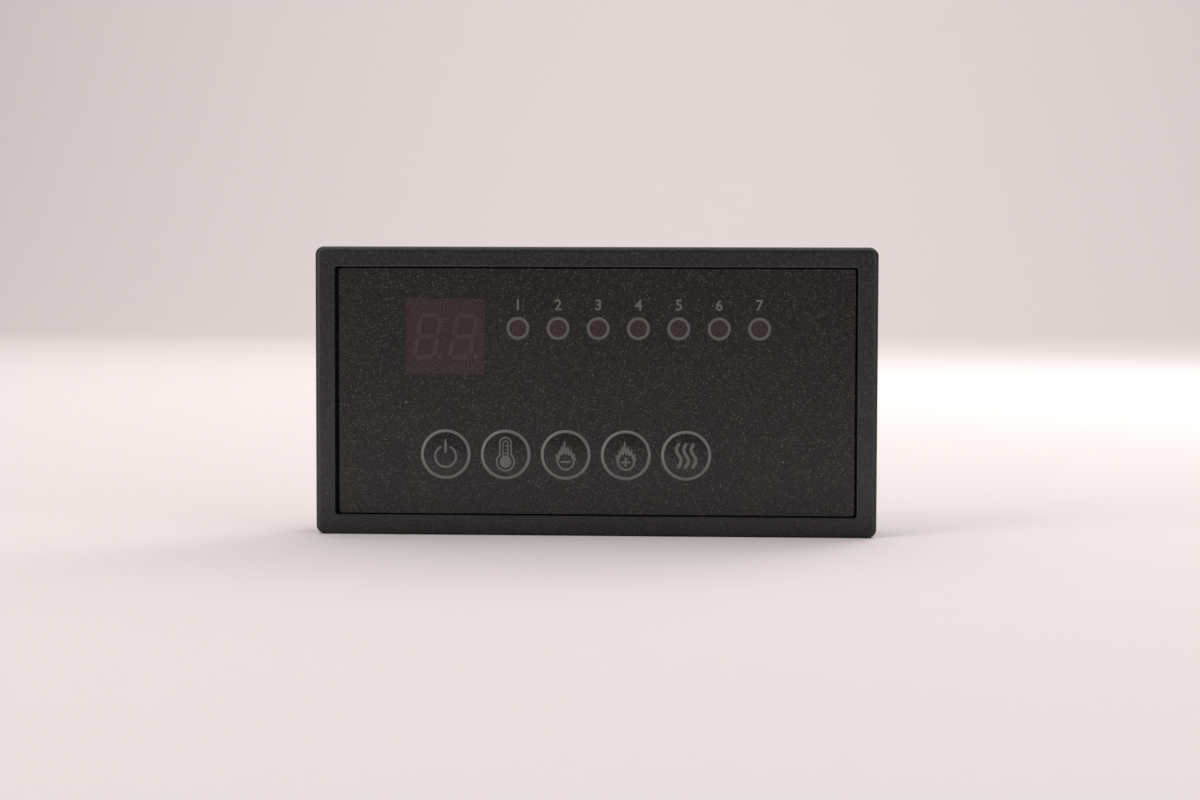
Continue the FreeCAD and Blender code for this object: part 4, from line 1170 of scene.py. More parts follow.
@dataclass
class KeySigns:
    """The outlines of the marks on the keys, about each key's middle."""

    line: float = 0.42
    thin_line: float = 0.34
    power_middle: float = -0.42
    power_radius: float = 2.1
    power_gap: float = 28.0
    stem_top: float = 3.15
    stem_width: float = 0.56
    bulb_middle: float = -1.45
    bulb_radius: float = 1.92
    tube_half: float = 1.3
    tube_top: float = 2.27
    column_half: float = 0.64
    column_top: float = 2.2
    mercury_radius: float = 1.18
    hearth_middle: float = -1.32
    hearth_radius: float = 1.38
    bar_length: float = 2.0
    wave_width: float = 0.66
    wave_swing: float = 0.46
    wave_period: float = 4.4
    wave_spacing: float = 1.46
    wave_ends: tuple[float, float] = (-2.25, 2.25)

    def outlines(self, sign: Sign) -> list[list[Outline]]:
        """The areas of a mark, each a list of outer outlines and holes."""
        return {
            Sign.POWER: self.power,
            Sign.THERMOMETER: self.thermometer,
            Sign.LESS_HEAT: lambda: self.flame(False),
            Sign.MORE_HEAT: lambda: self.flame(True),
            Sign.WARMTH: self.waves,
        }[sign]()

    def power(self) -> list[list[Outline]]:
        """A ring that is open at the top, with an upright line in the gap."""
        gap = self.power_gap
        path = arc(0.0, self.power_middle, self.power_radius, 90 + gap, 450 - gap, 40)
        steps = 12
        foot = 0.05
        stem = [(0.0, foot + (self.stem_top - foot) * i / steps) for i in range(steps + 1)]
        return [[stroke(path, self.line)], [stroke(stem, self.stem_width, pointed=0.9)]]

    def bulb(self, radius: float, half: float, top: float) -> Outline:
        """A bulb with a round-topped tube on it."""
        turn = math.degrees(math.asin(half / radius))
        outline = arc(0.0, self.bulb_middle, radius, 90 + turn, 450 - turn, 32)
        return outline + arc(0.0, top, half, 0.0, 180.0, 12)

    def thermometer(self) -> list[list[Outline]]:
        """An outlined thermometer with a filled bulb, a column and three ticks."""
        line = self.thin_line
        glass = self.bulb(self.bulb_radius, self.tube_half, self.tube_top)
        inner = self.bulb(self.bulb_radius - line, self.tube_half - line, self.tube_top)
        column = self.bulb(self.mercury_radius, self.column_half, self.column_top)
        low = self.bulb_middle + self.mercury_radius + 0.05
        half = self.column_half - 0.27
        hollow = [(-half, low), (half, low)] + arc(0.0, self.column_top, half, 0.0, 180.0, 8)
        ticks = [rounded(0.14, low + 0.55 + 0.72 * i, 0.5, 0.26, 0.08, 2) for i in range(3)]
        return [[glass, inner], [column, hollow], *[[tick] for tick in ticks]]

    def flame(self, more: bool) -> list[list[Outline]]:
        """A fire of several tongues round a hollow that holds a minus or a plus."""
        tongues = [
            (-0.26, 2.96, 0.05), (-0.02, 1.98, -0.05), (0.30, 1.30, 0.03), (0.48, 1.86, 0.05),
            (0.74, 1.02, -0.04), (0.98, 0.72, 0.0), (1.12, 1.40, 0.06), (1.38, 0.46, -0.05),
            (1.55, 0.10, 0.0), (1.84, 0.42, 0.05), (1.80, -0.42, -0.04), (2.13, -0.58, 0.05),
        ]
        left_side = [
            (-1.78, -1.62, 0.02), (-1.86, -0.66, 0.0), (-2.14, 0.12, 0.05), (-1.66, -0.08, -0.02),
            (-1.50, 0.30, 0.0), (-1.36, 1.00, 0.06), (-1.06, 0.62, -0.04), (-1.02, 1.10, 0.0),
            (-0.86, 1.90, 0.06), (-0.60, 1.42, -0.04),
        ]
        base = arc(0.05, self.hearth_middle, 1.76, -8.0, -172.0, 20)
        outline = bowed(tongues) + base + bowed(left_side)
        hollow = arc(0.05, self.hearth_middle, self.hearth_radius, 148.0, 392.0, 24)
        crown = [(0.98, 0.10), (0.72, -0.22), (0.42, 0.34), (0.12, -0.08), (-0.22, 0.62),
                 (-0.50, -0.02), (-0.80, 0.20)]
        bar_z = self.hearth_middle - 0.05
        if more:
            mark = cross_outline(0.0, bar_z, self.bar_length / 2 * 0.92, self.line / 2)
        else:
            mark = rounded(0.0, bar_z, self.bar_length, self.line, 0.12, 3)
        return [[outline, hollow + crown], [mark]]

    def waves(self) -> list[list[Outline]]:
        """Three rising waves."""
        low, high = self.wave_ends
        steps = 22
        areas = []
        for middle in (-self.wave_spacing, -0.02, self.wave_spacing):
            path = []
            for i in range(steps + 1):
                z = low + (high - low) * i / steps
                swing = self.wave_swing * math.sin(2 * math.pi * (z - 0.1) / self.wave_period)
                path.append((middle - swing, z))
            areas.append([stroke(path, self.wave_width)])
        return areas


def cross_outline(x: float, z: float, reach: float, half: float) -> Outline:
    """An upright cross of four equal arms."""
    corner = [(half, half), (reach, half), (reach, -half)]
    outline: Outline = []
    for turn in range(4):
        for px, pz in corner[::-1]:
            for _ in range(turn):
                px, pz = -pz, px
            outline.append((px + x, pz + z))
    return outline


@dataclass
class Overlay:
    """The printed film: its ground, its windows, its marks and its embossed keys."""

    thickness: float = 0.25
    corner: float = 0.6
    window_inset: float = 0.2
    window_corner: float = 0.25
    lamp_window: float = 1.71
    ink: float = 0.014
    sunk: float = 0.01
    ring_inside: float = 4.40
    lamp_ring: tuple[float, float] = (1.70, 2.28)
    numeral_height: float = 2.2
    numeral_middle: float = 4.7
    numeral_weight: float = 0.018
    numeral_curve: int = 6
    key_sides: int = 72
    lamp_sides: int = 40
    ring_sides: int = 48
    window_steps: int = 4
    slope_steps: int = 8
    dome_steps: int = 14
    ring_rim: float = 0.02
    drape_spacing: float = 0.3

    def build(self) -> None:
        """Builds the sheet, the windows, the lamps' marks and the keys."""
        self.face = KeySurface()
        sheet = Box.of("overlay_film")
        front, back = self.face.film_front, self.face.film_front + self.thickness
        keys = [Box.of(node) for node in self.key_nodes()]
        key_holes = circles(keys, self.face.edge, self.key_sides)
        window = Box.of("display_case").outline(-self.window_inset, self.window_corner, self.window_steps)
        lamps = [Box.of(lamp) for lamp in LAMPS]
        lamp_windows = circles(lamps, self.lamp_window, self.lamp_sides)
        outer = sheet.outline(0.0, self.corner)

        ground = Shape().plate([outer, *key_holes, window, *lamp_windows], front, back)
        place(ground, "film_sheet", Look.FILM, Slot.FILM, ["overlay_film"])
        place(Shape().plate([window], front, back), "film_display_window", Look.WINDOW, Slot.FILM)
        lenses = Shape()
        for outline in lamp_windows:
            lenses.plate([outline], front, back)
        place(lenses, "film_lamp_windows", Look.LAMP_WINDOW, Slot.FILM)
        self.lamp_marks(lamps)
        for key, box in zip(KEYS, keys):
            self.key(key, box)

    @staticmethod
    def key_nodes() -> list[str]:
        """The CAD nodes of the keys."""
        return [f"{key}_key" for key in KEYS]

    def lamp_marks(self, lamps: Sequence[Box]) -> None:
        """Prints a ring round each lamp and a numeral over it."""
        front = self.face.film_front
        rings = Shape()
        inner, outer = self.lamp_ring
        for lamp in lamps:
            outlines = [circle(lamp.x, lamp.z, radius, self.ring_sides) for radius in (outer, inner)]
            rings.plate(outlines, front - self.ink, front + self.sunk)
        place(rings, "lamp_ring_marks", Look.LAMP_RINGS, Slot.FILM)
        numerals = Shape()
        for day, lamp in enumerate(lamps, 1):
            self.numeral(numerals, str(day), lamp.x, lamp.z + self.numeral_middle)
        place(numerals, "day_numerals", Look.MARKS, Slot.FILM)

    def numeral(self, shape: Shape, text: str, x: float, z: float) -> None:
        """Adds one raised numeral centred on (x, z)."""
        curve = bpy.data.curves.new("numeral", "FONT")
        curve.body = text
        curve.extrude = 1.0
        curve.offset = self.numeral_weight
        curve.resolution_u = self.numeral_curve
        holder = bpy.data.objects.new("numeral", curve)
        bpy.context.scene.collection.objects.link(holder)
        graph = bpy.context.evaluated_depsgraph_get()
        solid = bpy.data.meshes.new_from_object(holder.evaluated_get(graph))
        bpy.data.objects.remove(holder)
        across = [v.co.x for v in solid.vertices]
        up = [v.co.y for v in solid.vertices]
        scale = self.numeral_height / (max(up) - min(up))
        middle = ((min(across) + max(across)) / 2, (min(up) + max(up)) / 2)
        front = self.face.film_front
        for vertex in solid.vertices:
            depth = front - self.ink if vertex.co.z > 0 else front + self.sunk
            right, over = (vertex.co.x - middle[0]) * scale, (vertex.co.y - middle[1]) * scale
            vertex.co = (x + right, depth, z + over)
        shape.mesh.from_mesh(solid)
        bpy.data.meshes.remove(solid)
        bmesh.ops.remove_doubles(shape.mesh, verts=shape.mesh.verts, dist=WELD)

    def key(self, key: str, box: Box) -> None:
        """Builds one embossed key, its printed ring and its sign."""
        face = self.face
        width = face.edge - face.crest
        slope = [face.edge - width * i / self.slope_steps for i in range(self.slope_steps + 1)]
        dome = [face.crest * (1 - i / self.dome_steps) for i in range(1, self.dome_steps + 1)]
        radii = slope + dome
        top = [(r, face.depth(r, 0.0)) for r in radii]
        under = [(r, face.depth(r, 0.0, self.thickness)) for r in radii]
        shell = Shape().turned(under[::-1] + top, box.x, box.z, self.key_sides)
        piece = place(shell, f"{key}_key_dome", Look.FILM, Slot.FILM, [f"{key}_key"], body=None)
        self.bend(piece, key, box)

        between = [r for r in radii if self.ring_inside < r < face.edge]
        band = [face.edge - self.ring_rim, *between, self.ring_inside]
        proud = [(r, face.depth(r, 0.0, -self.ink)) for r in band]
        let_in = [(r, face.depth(r, 0.0, self.sunk)) for r in band]
        ring = Shape().turned(proud + let_in[::-1], box.x, box.z, self.key_sides)
        self.bend(place(ring, f"{key}_key_ring", Look.RINGS, Slot.FILM, body=None), key, box)

        sign = Shape()
        for area in KeySigns().outlines(Sign(key)):
            placed = [moved(outline, box.x, box.z) for outline in area]
            sign.plate(
                placed,
                lambda x, z: face.depth(x - box.x, z - box.z, -self.ink),
                lambda x, z: face.depth(x - box.x, z - box.z, self.sunk),
                self.drape_spacing,
            )
        self.bend(place(sign, f"{key}_key_sign", Look.MARKS, Slot.FILM, body=None), key, box)

    def bend(self, piece: bpy.types.Object, key: str, box: Box) -> None:
        """Bakes the piece's place into its mesh."""
        face = self.face
        top = face.film_front - face.crest_height - face.dome_height
        start = (box.x * MM, face.film_front * MM, box.z * MM)
        end = (box.x * MM, top * MM, box.z * MM)
        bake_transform(piece)


@dataclass
class Front:
    """The bezel, and the display and lamps behind the film."""

    recess_half: tuple[float, float] = (51.95, 24.75)
    recess_corner: float = 0.45
    window_margin: float = 0.12
    window_corner: float = 0.3
    lamp_hole: float = 1.9
    lamp_sides: int = 40
    key_hole: float = 5.2
    key_sides: int = 60
    spring: float = 0.08
    spring_sides: int = 48

    def build(self) -> None:
        """Dresses the moulding, the display and the lamps."""
        dress(Look.BEZEL, "front_bezel")
        self.adhesive()
        dress(Look.DISPLAY, "display_case")
        dress(Look.BARS, "display_segments")
        dress(Look.LAMP, *LAMPS)
        for key in KEYS:
            dress(Look.SWITCH, f"{key}_switch_base", f"{key}_switch_stem")
            dress(Look.SPRING, f"{key}_switch_cover")
            self.snap_dome(key)

    def adhesive(self) -> None:
        """The dark sheet that bonds the film, drawn out as far as the wall of the recess in near-black: the
        adhesive, and a painted shade in the gap round the film.
        """
        sheet = Box.of("overlay_adhesive")
        width, height = 2 * self.recess_half[0], 2 * self.recess_half[1]
        outlines = [rounded(0.0, 0.0, width, height, self.recess_corner)]
        outlines += [Box.of("display_case").outline(self.window_margin, self.window_corner, 3)]
        outlines += circles(map(Box.of, LAMPS), self.lamp_hole, self.lamp_sides)
        outlines += circles(map(Box.of, Overlay.key_nodes()), self.key_hole, self.key_sides)
        bed = Shape().plate(outlines, sheet.front, sheet.back)
        place(bed, "adhesive_bed_and_gap_shade", Look.ADHESIVE, Slot.ADHESIVE, ["overlay_adhesive"])

    def snap_dome(self, key: str) -> None:
        """The sprung disc under a stem."""
        box = Box.of(f"{key}_snap_dome")
        radius, rise = box.width / 2, box.back - box.front - self.spring
        steps = 12
        over = [(radius * i / steps, box.front + rise * (i / steps) ** 2) for i in range(steps + 1)]
        under = [(r, y + self.spring) for r, y in over]
        disc = Shape().turned(over + under[::-1], box.x, box.z, self.spring_sides)
        piece = place(disc, f"{key}_spring_dome", Look.SPRING, Slot.SPRING, [f"{key}_snap_dome"], body=None)
        start = (box.x * MM, (box.back - self.spring) * MM, box.z * MM)
        end = (box.x * MM, box.front * MM, box.z * MM)
        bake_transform(piece)


def chamfered(path: Outline, cut: float) -> Outline:
    """A path whose inner corners are cut off at 45 degrees."""
    points = [path[0]]
    for before, corner, after in zip(path, path[1:], path[2:]):
        for other in (before, after):
            length = math.dist(corner, other)
            share = min(cut, length * 0.45) / length
            points.append(tuple(c + (o - c) * share for c, o in zip(corner, other)))
    return [*points, path[-1]]


@dataclass(frozen=True)
class GullWing:
    """A flat lead that leaves a body sideways, bends down to the board and ends in a foot."""

    reach: float
    drop: float
    thickness: float
    bend: float
    rooted: float = 0.25

    def add(self, shape: Shape, across: tuple[float, float], root: float, side: int, levels: Point) -> None:
        """Adds one lead.

        Args:
            shape: What the lead is added to.
            across: The lead's two sides.
            root: Where the body ends.
            side: 1 for a lead that points up, -1 for one that points down.
            levels: The depths at which the lead leaves the body and of the board.
        """
        leaves, board = levels
        half = self.thickness / 2
        foot = board + half
        path = [(-self.rooted, leaves)]
        path += arc(self.drop - self.bend, leaves - self.bend, self.bend, 90.0, 0.0, 4)
        path += arc(self.drop + self.bend, foot + self.bend, self.bend, 180.0, 270.0, 4)
        path += [(self.reach - half, foot)]
        outline = stroke(path, self.thickness, cap_steps=4)
        shape.skin([[(x, y, root + side * out) for out, y in outline] for x in across])


@dataclass
class CircuitBoard:
    """The board itself: laminate, tracks, pads, solder and printed legend."""

    corner: float = 1.0
    hole: float = 0.46
    screw_hole: float = 1.35
    copper: float = 0.035
    track: float = 0.32
    wide_track: float = 0.8
    pad: float = 0.92
    legend: float = 0.16
    legend_height: float = 0.02
    legend_base: float = 0.012
    joint_height: float = 0.95
    sunk: float = 0.02
    track_step: float = 0.0002
    track_chamfer: float = 0.55
    pad_rise: float = 0.008
    foot_pad: Point = (0.68, 1.6)
    end_pad: Point = (1.5, 1.1)
    pad_share: float = 0.95
    half_pitch: float = 1.27
    terminal: Point = (3.25, 2.25)
    lead_lap: float = 0.3
    lamp_rail: float = 15.2
    key_rail: float = -16.3
    medium_track: float = 0.6
    heavy_track: float = 1.2
    resistor_levels: tuple[float, ...] = (-5.6, -3.6, -1.6, 0.4)
    transistor_levels: tuple[float, ...] = (12.1, 7.1)
    pad_sides: int = 24
    joint_sides: int = 20
    via_sides: int = 18
    mark_sides: int = 40
    part_margin: float = 0.35
    can_margin: float = 0.3
    switch_margin: float = 0.15
    buzzer_mark: float = 5.1
    lamp_mark: float = 2.3
    first_lead_mark: float = 0.3

    def build(self) -> None:
        """Builds the laminate and everything that is printed or soldered on it."""
        box = Box.of("circuit_board")
        self.back, self.front = box.back, box.front
        outline = box.outline(0.0, self.corner, 6)
        holes = [circle(x, z, self.hole, 12) for x, z, _ in self.joints()]
        holes += circles(solids("board_screws"), self.screw_hole, 24)
        core = Shape().plate([outline, *holes], self.front, self.back)
        place(core, "board_laminate", Look.BOARD, Slot.BOARD, ["circuit_board"])
        self.tracks()
        self.pads()
        self.solder()
        self.marks()

    @staticmethod
    def joints() -> list[tuple[float, float, int]]:
        """The (x, z) of every through lead and the side it is soldered on: 1 for the back, -1 the front."""
        back = ("display_pins", "lamp_leads", "switch_terminals")
        front = [f"{header}_pins" for header in HEADERS]
        found = [(b.x, b.z, 1) for node in back for b in solids(node)]
        return found + [(b.x, b.z, -1) for node in front for b in solids(node)]

    @staticmethod
    def chip_feet() -> list[tuple[float, float, float]]:
        """The (x, z) of each chip lead's foot and which way it points."""
        half_foot = 0.4
        feet = []
        for chip in CHIPS:
            middle = Box.of(chip).z
            for lead in solids(f"{chip}_leads"):
                side = 1 if lead.z > middle else -1
                tip = lead.high[2] if side > 0 else lead.low[2]
                feet.append((lead.x, tip - side * half_foot, side))
        return feet

    def paths(self) -> list[tuple[Outline, float]]:
        """The middle line and the width of each track, between the leads that it joins."""
        thin, medium, wide = self.track, self.medium_track, self.wide_track
        pitch, lap, rail = self.half_pitch, self.lead_lap, self.lamp_rail
        lamps = [Box.of(lamp) for lamp in LAMPS]
        dimmers = sorted(solids("chip_resistors"), key=lambda b: -b.z)[:7]
        dimmers.sort(key=lambda b: b.x)
        pins = {}
        for chip in CHIPS:
            middle = Box.of(chip).z
            leads = sorted(solids(f"{chip}_leads"), key=lambda b: b.x)
            pins[chip] = ([b for b in leads if b.z < middle], [b for b in leads if b.z > middle])
        low, high = pins["controller_chip"]
        found = []
        for i, (lamp, dimmer) in enumerate(zip(lamps, dimmers)):
            level = 6.4 - 0.5 * i
            pin = high[2 * i]
            found += [
                ([(dimmer.x, dimmer.low[2]), (dimmer.x, level), (pin.x, level), (pin.x, pin.high[2] - lap)],
                 thin),
                ([(lamp.x + pitch, lamp.z), (lamp.x + pitch, 10.7), (dimmer.x, 9.9),
                  (dimmer.x, dimmer.high[2] - 0.2)], thin),
                ([(lamp.x - pitch, lamp.z), (lamp.x - pitch, rail)], thin),
            ]
        found += [
            ([(lamps[0].x - 1.6, rail), (36.5, rail), (41.4, 10.25), (44.5, 10.25)], medium),
            ([(44.5, 12.75), (41.0, 12.75), (40.3, 12.75)], thin),
        ]

        switches = [Box.of(f"{key}_switch_base") for key in KEYS]
        (across, up), rail = self.terminal, self.key_rail
        for switch, pin, level in zip(switches, (0, 2, 10, 11, 12), (-8.4, -9.0, -9.6, -9.0, -8.4)):
            start = (switch.x + across, switch.z + up)
            end = low[pin]
            found.append(([start, (start[0], level), (end.x, level), (end.x, end.low[2] + lap)], thin))
        for switch in switches:
            found.append(([(switch.x - across, switch.z - up), (switch.x - across, rail)], thin))
        found.append(([(switches[0].x - 3.5, rail), (20.5, rail), (22.75, -15.4)], medium))

        low, high = pins["driver_chip"]
        legs = solids("display_pins")
        lower = [b for b in legs if b.z < 10]
        upper = [b for b in legs if b.z > 10]
        for leg, pin, level in zip(lower, (3, 5, 7, 8, 9), (3.7, 3.7, 3.7, 3.5, 3.1)):
            end = high[pin]
            path = [(leg.x, leg.z), (leg.x, level), (end.x, level), (end.x, end.high[2] - lap)]
            found.append((path, thin))
        for i, (leg, pin) in enumerate(zip(upper, (2, 1, 0))):
            level, column, under = 15.95 - 0.5 * i, -46.2 + 0.6 * i, -9.9 + 0.5 * i
            end = low[pin]
            found.append(([(leg.x, leg.z), (leg.x, level), (column, level), (column, under), (end.x, under),
                           (end.x, end.low[2] + lap)], thin))
        found.append(([(-40.7, 0.6), (-40.7, -5.8)], 0.5))
        for z in self.resistor_levels:
            found += [([(-41.9, z), (-40.7, z)], thin), ([(-43.5, z), (-44.3, z)], thin)]
        for z in self.transistor_levels:
            found += [
                ([(-42.45, z), (-42.45, z - 1.1)], thin),
                ([(-40.55, z), (-40.55, z - 0.7), (-37.2, z - 0.7)], thin),
                ([(-41.5, z + 2.4), (-43.6, z + 2.4), (-43.6, z + 1.5)], thin),
            ]
        return found + [
            ([(26.7, -3.6), (12.0, -3.6), (10.6, -4.9)], wide),
            ([(10.6, -5.1), (8.0, -5.1), (5.3, -4.2), (4.6, -4.2)], medium),
            ([(41.7, -3.0), (40.1, -3.0)], self.heavy_track),
            ([(44.5, -0.5), (41.2, -0.5), (39.7, 1.0), (39.7, 2.7)], wide),
            ([(44.5, -5.5), (41.0, -5.5), (38.9, -8.2), (38.9, -12.4)], wide),
            ([(23.7, -13.1), (23.7, -4.2)], medium),
            ([(24.65, -15.3), (25.2, -16.0), (28.0, -16.0)], 0.5),
            ([(0.26, 2.7), (1.3, 2.35), (9.8, 2.35), (10.9, 2.0)], thin),
            ([(10.9, 1.0), (2.3, 1.0), (2.3, -0.4)], thin),
            ([(-24.5, -0.2), (-24.5, 1.2), (-27.0, 1.2)], thin),
            ([(-24.5, -2.0), (-24.5, -3.5)], thin),
            ([(-24.5, -5.3), (-24.5, -6.6), (-21.6, -6.6), (-21.6, 1.4)], thin),
        ]

    def tracks(self) -> None:
        """The copper tracks under the mask, a hair's breadth apart in height where they meet."""
        shape = Shape()
        for i, (path, width) in enumerate(self.paths()):
            outline = stroke(chamfered(path, self.track_chamfer), width, cap_steps=6)
            shape.plate([outline], self.back - self.sunk, self.back + self.copper - self.track_step * i)
        place(shape, "board_tracks", Look.TRACE, Slot.BOARD)

    def pads(self) -> None:
        """Tinned pads and vias."""
        shape = Shape()
        low, top = self.back - self.sunk, self.back + self.copper + self.pad_rise
        for x, z, _ in self.joints():
            ring = [circle(x, z, radius, self.pad_sides) for radius in (self.pad, self.hole)]
            shape.plate(ring, low, top)
            shape.plate(ring, self.front - self.copper, self.front + self.sunk)
        for x, z, _ in self.chip_feet():
            shape.plate([rounded(x, z, *self.foot_pad, 0.12, 2)], low, top)
        for node in CHIP_PARTS:
            for box in solids(node):
                for x, z, upright in self.ends(box, self.pad_share):
                    size = self.end_pad if upright else self.end_pad[::-1]
                    shape.plate([rounded(x, z, *size, 0.15, 2)], low, top)
        bore = top - 0.03
        via = [(0.0, bore), (0.16, bore), (0.2, top), (0.38, top), (0.42, low), (0.0, low)]
        for x, z in self.vias():
            shape.turned(via, x, z, self.via_sides)
        place(shape, "board_pads", Look.TIN, Slot.TIN)

    @staticmethod
    def ends(box: Box, share: float) -> list[tuple[float, float, bool]]:
        """The middles of a small part's two ends, and whether it stands upright on the board."""
        reach = max(box.height, box.width) / 2 * share
        if box.upright:
            return [(box.x, box.z - reach, True), (box.x, box.z + reach, True)]
        return [(box.x - reach, box.z, False), (box.x + reach, box.z, False)]

    def vias(self) -> list[Point]:
        """Where tracks change sides."""
        found = [(40.3, 12.75), (2.3, -0.4), (-27.0, 1.9), (-21.6, 1.4), (28.0, -17.6), (20.5, -17.2)]
        found += [(-44.3, z) for z in self.resistor_levels]
        for z in self.transistor_levels:
            found += [(-42.45, z - 1.1), (-37.2, z - 0.7), (-43.6, z + 1.5)]
        found += [(15.5 + 2.1 * i, -7.4) for i in range(4)] + [(-20.2, 5.0 + 1.9 * i) for i in range(4)]
        return found

    def solder(self) -> None:
        """A cone of solder round every through lead and a fillet round every foot and end."""
        shape = Shape()
        rise = self.joint_height
        cone = [(0.86, 0.0), (0.80, 0.07), (0.63, 0.16), (0.51, 0.30), (0.44, 0.52), (0.39, 0.80)]
        cone.append((0.34, rise))
        for x, z, side in self.joints():
            level = self.back + self.copper if side > 0 else self.front - self.copper
            profile = [(r, level + side * y) for r, y in cone]
            closed = [(0.0, level), *profile, (0.0, level + side * rise * 1.02)]
            shape.turned(closed, x, z, self.joint_sides)
        base = self.back + self.copper
        fillet = (((0.60, 1.36), 0.0), ((0.54, 1.22), 0.05), ((0.46, 1.05), 0.12), ((0.40, 0.92), 0.17))
        for x, z, _ in self.chip_feet():
            shape.stack([(rounded(x, z, *size, 0.12, 3), base + y) for size, y in fillet])
        for node in CHIP_PARTS:
            for box in solids(node):
                self.end_fillets(shape, box, base)
        place(shape, "board_solder", Look.SOLDER, Slot.TIN)

    def end_fillets(self, shape: Shape, box: Box, base: float) -> None:
        """Solder that climbs the two ends of a small part."""
        for x, z, upright in self.ends(box, 1.0):
            for scale, low, high in ((1.0, 0.0, 0.10), (0.62, 0.10, 0.26)):
                size = (1.05 * scale + 0.3, 0.55 * scale) if upright else (0.55 * scale, 1.05 * scale + 0.3)
                smaller = tuple(v * 0.82 for v in size)
                shape.stack([(rounded(x, z, *size, 0.1, 3), base + low),
                             (rounded(x, z, *smaller, 0.08, 3), base + high)])

    def marks(self) -> None:
        """White outlines round the parts, without lettering."""
        shape = Shape()
        half = self.legend / 2

        def frame_of(box: Box, margin: float, corner: float = 0.3) -> list[Outline]:
            """The outline round a box."""
            width, height = box.width + 2 * margin, box.height + 2 * margin
            sides = ((half, corner + half), (-half, max(corner - half, 0.05)))
            return [
                rounded(box.x, box.z, width + 2 * out, height + 2 * out, bend, 3) for out, bend in sides
            ]

        def ring_of(box: Box, radius: float) -> list[Outline]:
            """A ring round the middle of a box."""
            return [circle(box.x, box.z, radius + out, self.mark_sides) for out in (half, -half)]

        margin = self.part_margin
        areas = [frame_of(Box.of(header), margin) for header in HEADERS]
        areas += [frame_of(base, self.can_margin, 0.5) for base in solids("capacitor_bases")]
        areas += [frame_of(Box.of("clock_crystal"), margin, 2.5), frame_of(Box.of("watch_crystal"), margin)]
        areas += [frame_of(Box.of("display_case"), 0.0)]
        areas += [ring_of(Box.of("buzzer"), self.buzzer_mark)]
        areas += [ring_of(Box.of(lamp), self.lamp_mark) for lamp in LAMPS]
        areas += [frame_of(Box.of(f"{key}_switch_base"), self.switch_margin) for key in KEYS]
        for chip in CHIPS:
            body = Box.of(chip)
            left, low = body.low[0], body.low[2]
            areas += [[circle(left - 0.9, low - 0.5, self.first_lead_mark, 16)]]
            for x in (left - margin, body.high[0] + margin):
                areas.append([stroke([(x, low), (x, body.high[2])], self.legend)])
        for can in solids("capacitor_cans"):
            areas.append([cross_outline(can.x + 2.6, can.z + 4.4, 0.6, half)])
        top = self.back + self.copper + self.legend_base
        for area in areas:
            shape.plate(area, self.back - self.sunk, top + self.legend_height)
        place(shape, "board_legend", Look.LEGEND, Slot.BOARD)


@dataclass
class Chip:
    """A moulded chip with gull-wing leads along two sides."""

    node: str
    draft: float = 0.24
    edge: float = 0.12
    seam: float = 0.10
    dimple: float = 0.58
    dimple_depth: float = 0.14
    dimple_inset: float = 1.3
    corner: float = 0.16
    bulge: float = 0.02
    wing: GullWing = GullWing(reach=1.4, drop=0.60, thickness=0.22, bend=0.22)

    def build(self) -> None:
        """Builds the body and its leads."""
        box = Box.of(self.node)
        middle = (box.front + box.back) / 2

        def level(inset: float, y: float) -> tuple[Outline, float]:
            """One outline of the body."""
            return box.outline(-inset, self.corner, 3), y

        body = Shape().stack([
            level(self.draft + self.edge, box.front), level(self.draft, box.front + self.edge),
            level(self.bulge, middle - self.seam), level(0.0, middle - self.seam + self.bulge),
            level(0.0, middle + self.seam - self.bulge), level(self.bulge, middle + self.seam),
            level(self.draft, box.back - self.edge), level(self.draft + self.edge, box.back),
        ])
        spot = (box.low[0] + self.dimple_inset, box.low[2] + self.dimple_inset)
        floor = box.back - self.dimple_depth
        drill = [(0.0, floor), (self.dimple - 0.08, floor), (self.dimple, floor + 0.05),
                 (self.dimple, box.back + 0.3), (0.0, box.back + 0.3)]
        body.cut(Shape().turned(drill, *spot, 32))
        place(body, f"{self.node}_body", Look.CHIP, Slot.CHIP, [self.node])

        leads = Shape()
        for lead in solids(f"{self.node}_leads"):
            side = 1 if lead.z > box.z else -1
            root = box.high[2] if side > 0 else box.low[2]
            self.wing.add(leads, (lead.low[0], lead.high[0]), root, side, (middle, lead.front))
        leads.soften(0.03, 1, above=70.0)
        place(leads, f"{self.node}_gull_wings", Look.TIN, Slot.TIN, [f"{self.node}_leads"])


@dataclass
class Transistors:
    """Small three-legged parts."""

    body_half: float = 0.65
    standoff: float = 0.1
    draft: float = 0.12
    leg_half: float = 0.2
    pitch: float = 0.95
    seam: float = 0.03
    edge: float = 0.05
    wing: GullWing = GullWing(reach=0.54, drop=0.24, thickness=0.13, bend=0.11, rooted=0.1)

    def build(self) -> None:
        """Builds the bodies and the legs."""
        bodies, legs = Shape(), Shape()
        for box in solids("transistors"):
            base = box.front + self.standoff
            middle = (base + box.back) / 2
            levels = []
            for inset, y in ((self.draft, base), (0.0, middle - self.seam), (0.0, middle + self.seam),
                             (self.draft, box.back - self.edge), (self.draft + 0.06, box.back)):
                height = 2 * (self.body_half - inset)
                levels.append((rounded(box.x, box.z, box.width - 2 * inset, height, 0.08, 2), y))
            bodies.stack(levels)
            for x, side in ((box.x - self.pitch, -1), (box.x + self.pitch, -1), (box.x, 1)):
                root = box.z + side * self.body_half
                self.wing.add(legs, (x - self.leg_half, x + self.leg_half), root, side, (middle, box.front))
        place(bodies, "transistor_bodies", Look.CHIP, Slot.CHIP, ["transistors"])
        place(legs, "transistor_legs", Look.TIN, Slot.TIN)


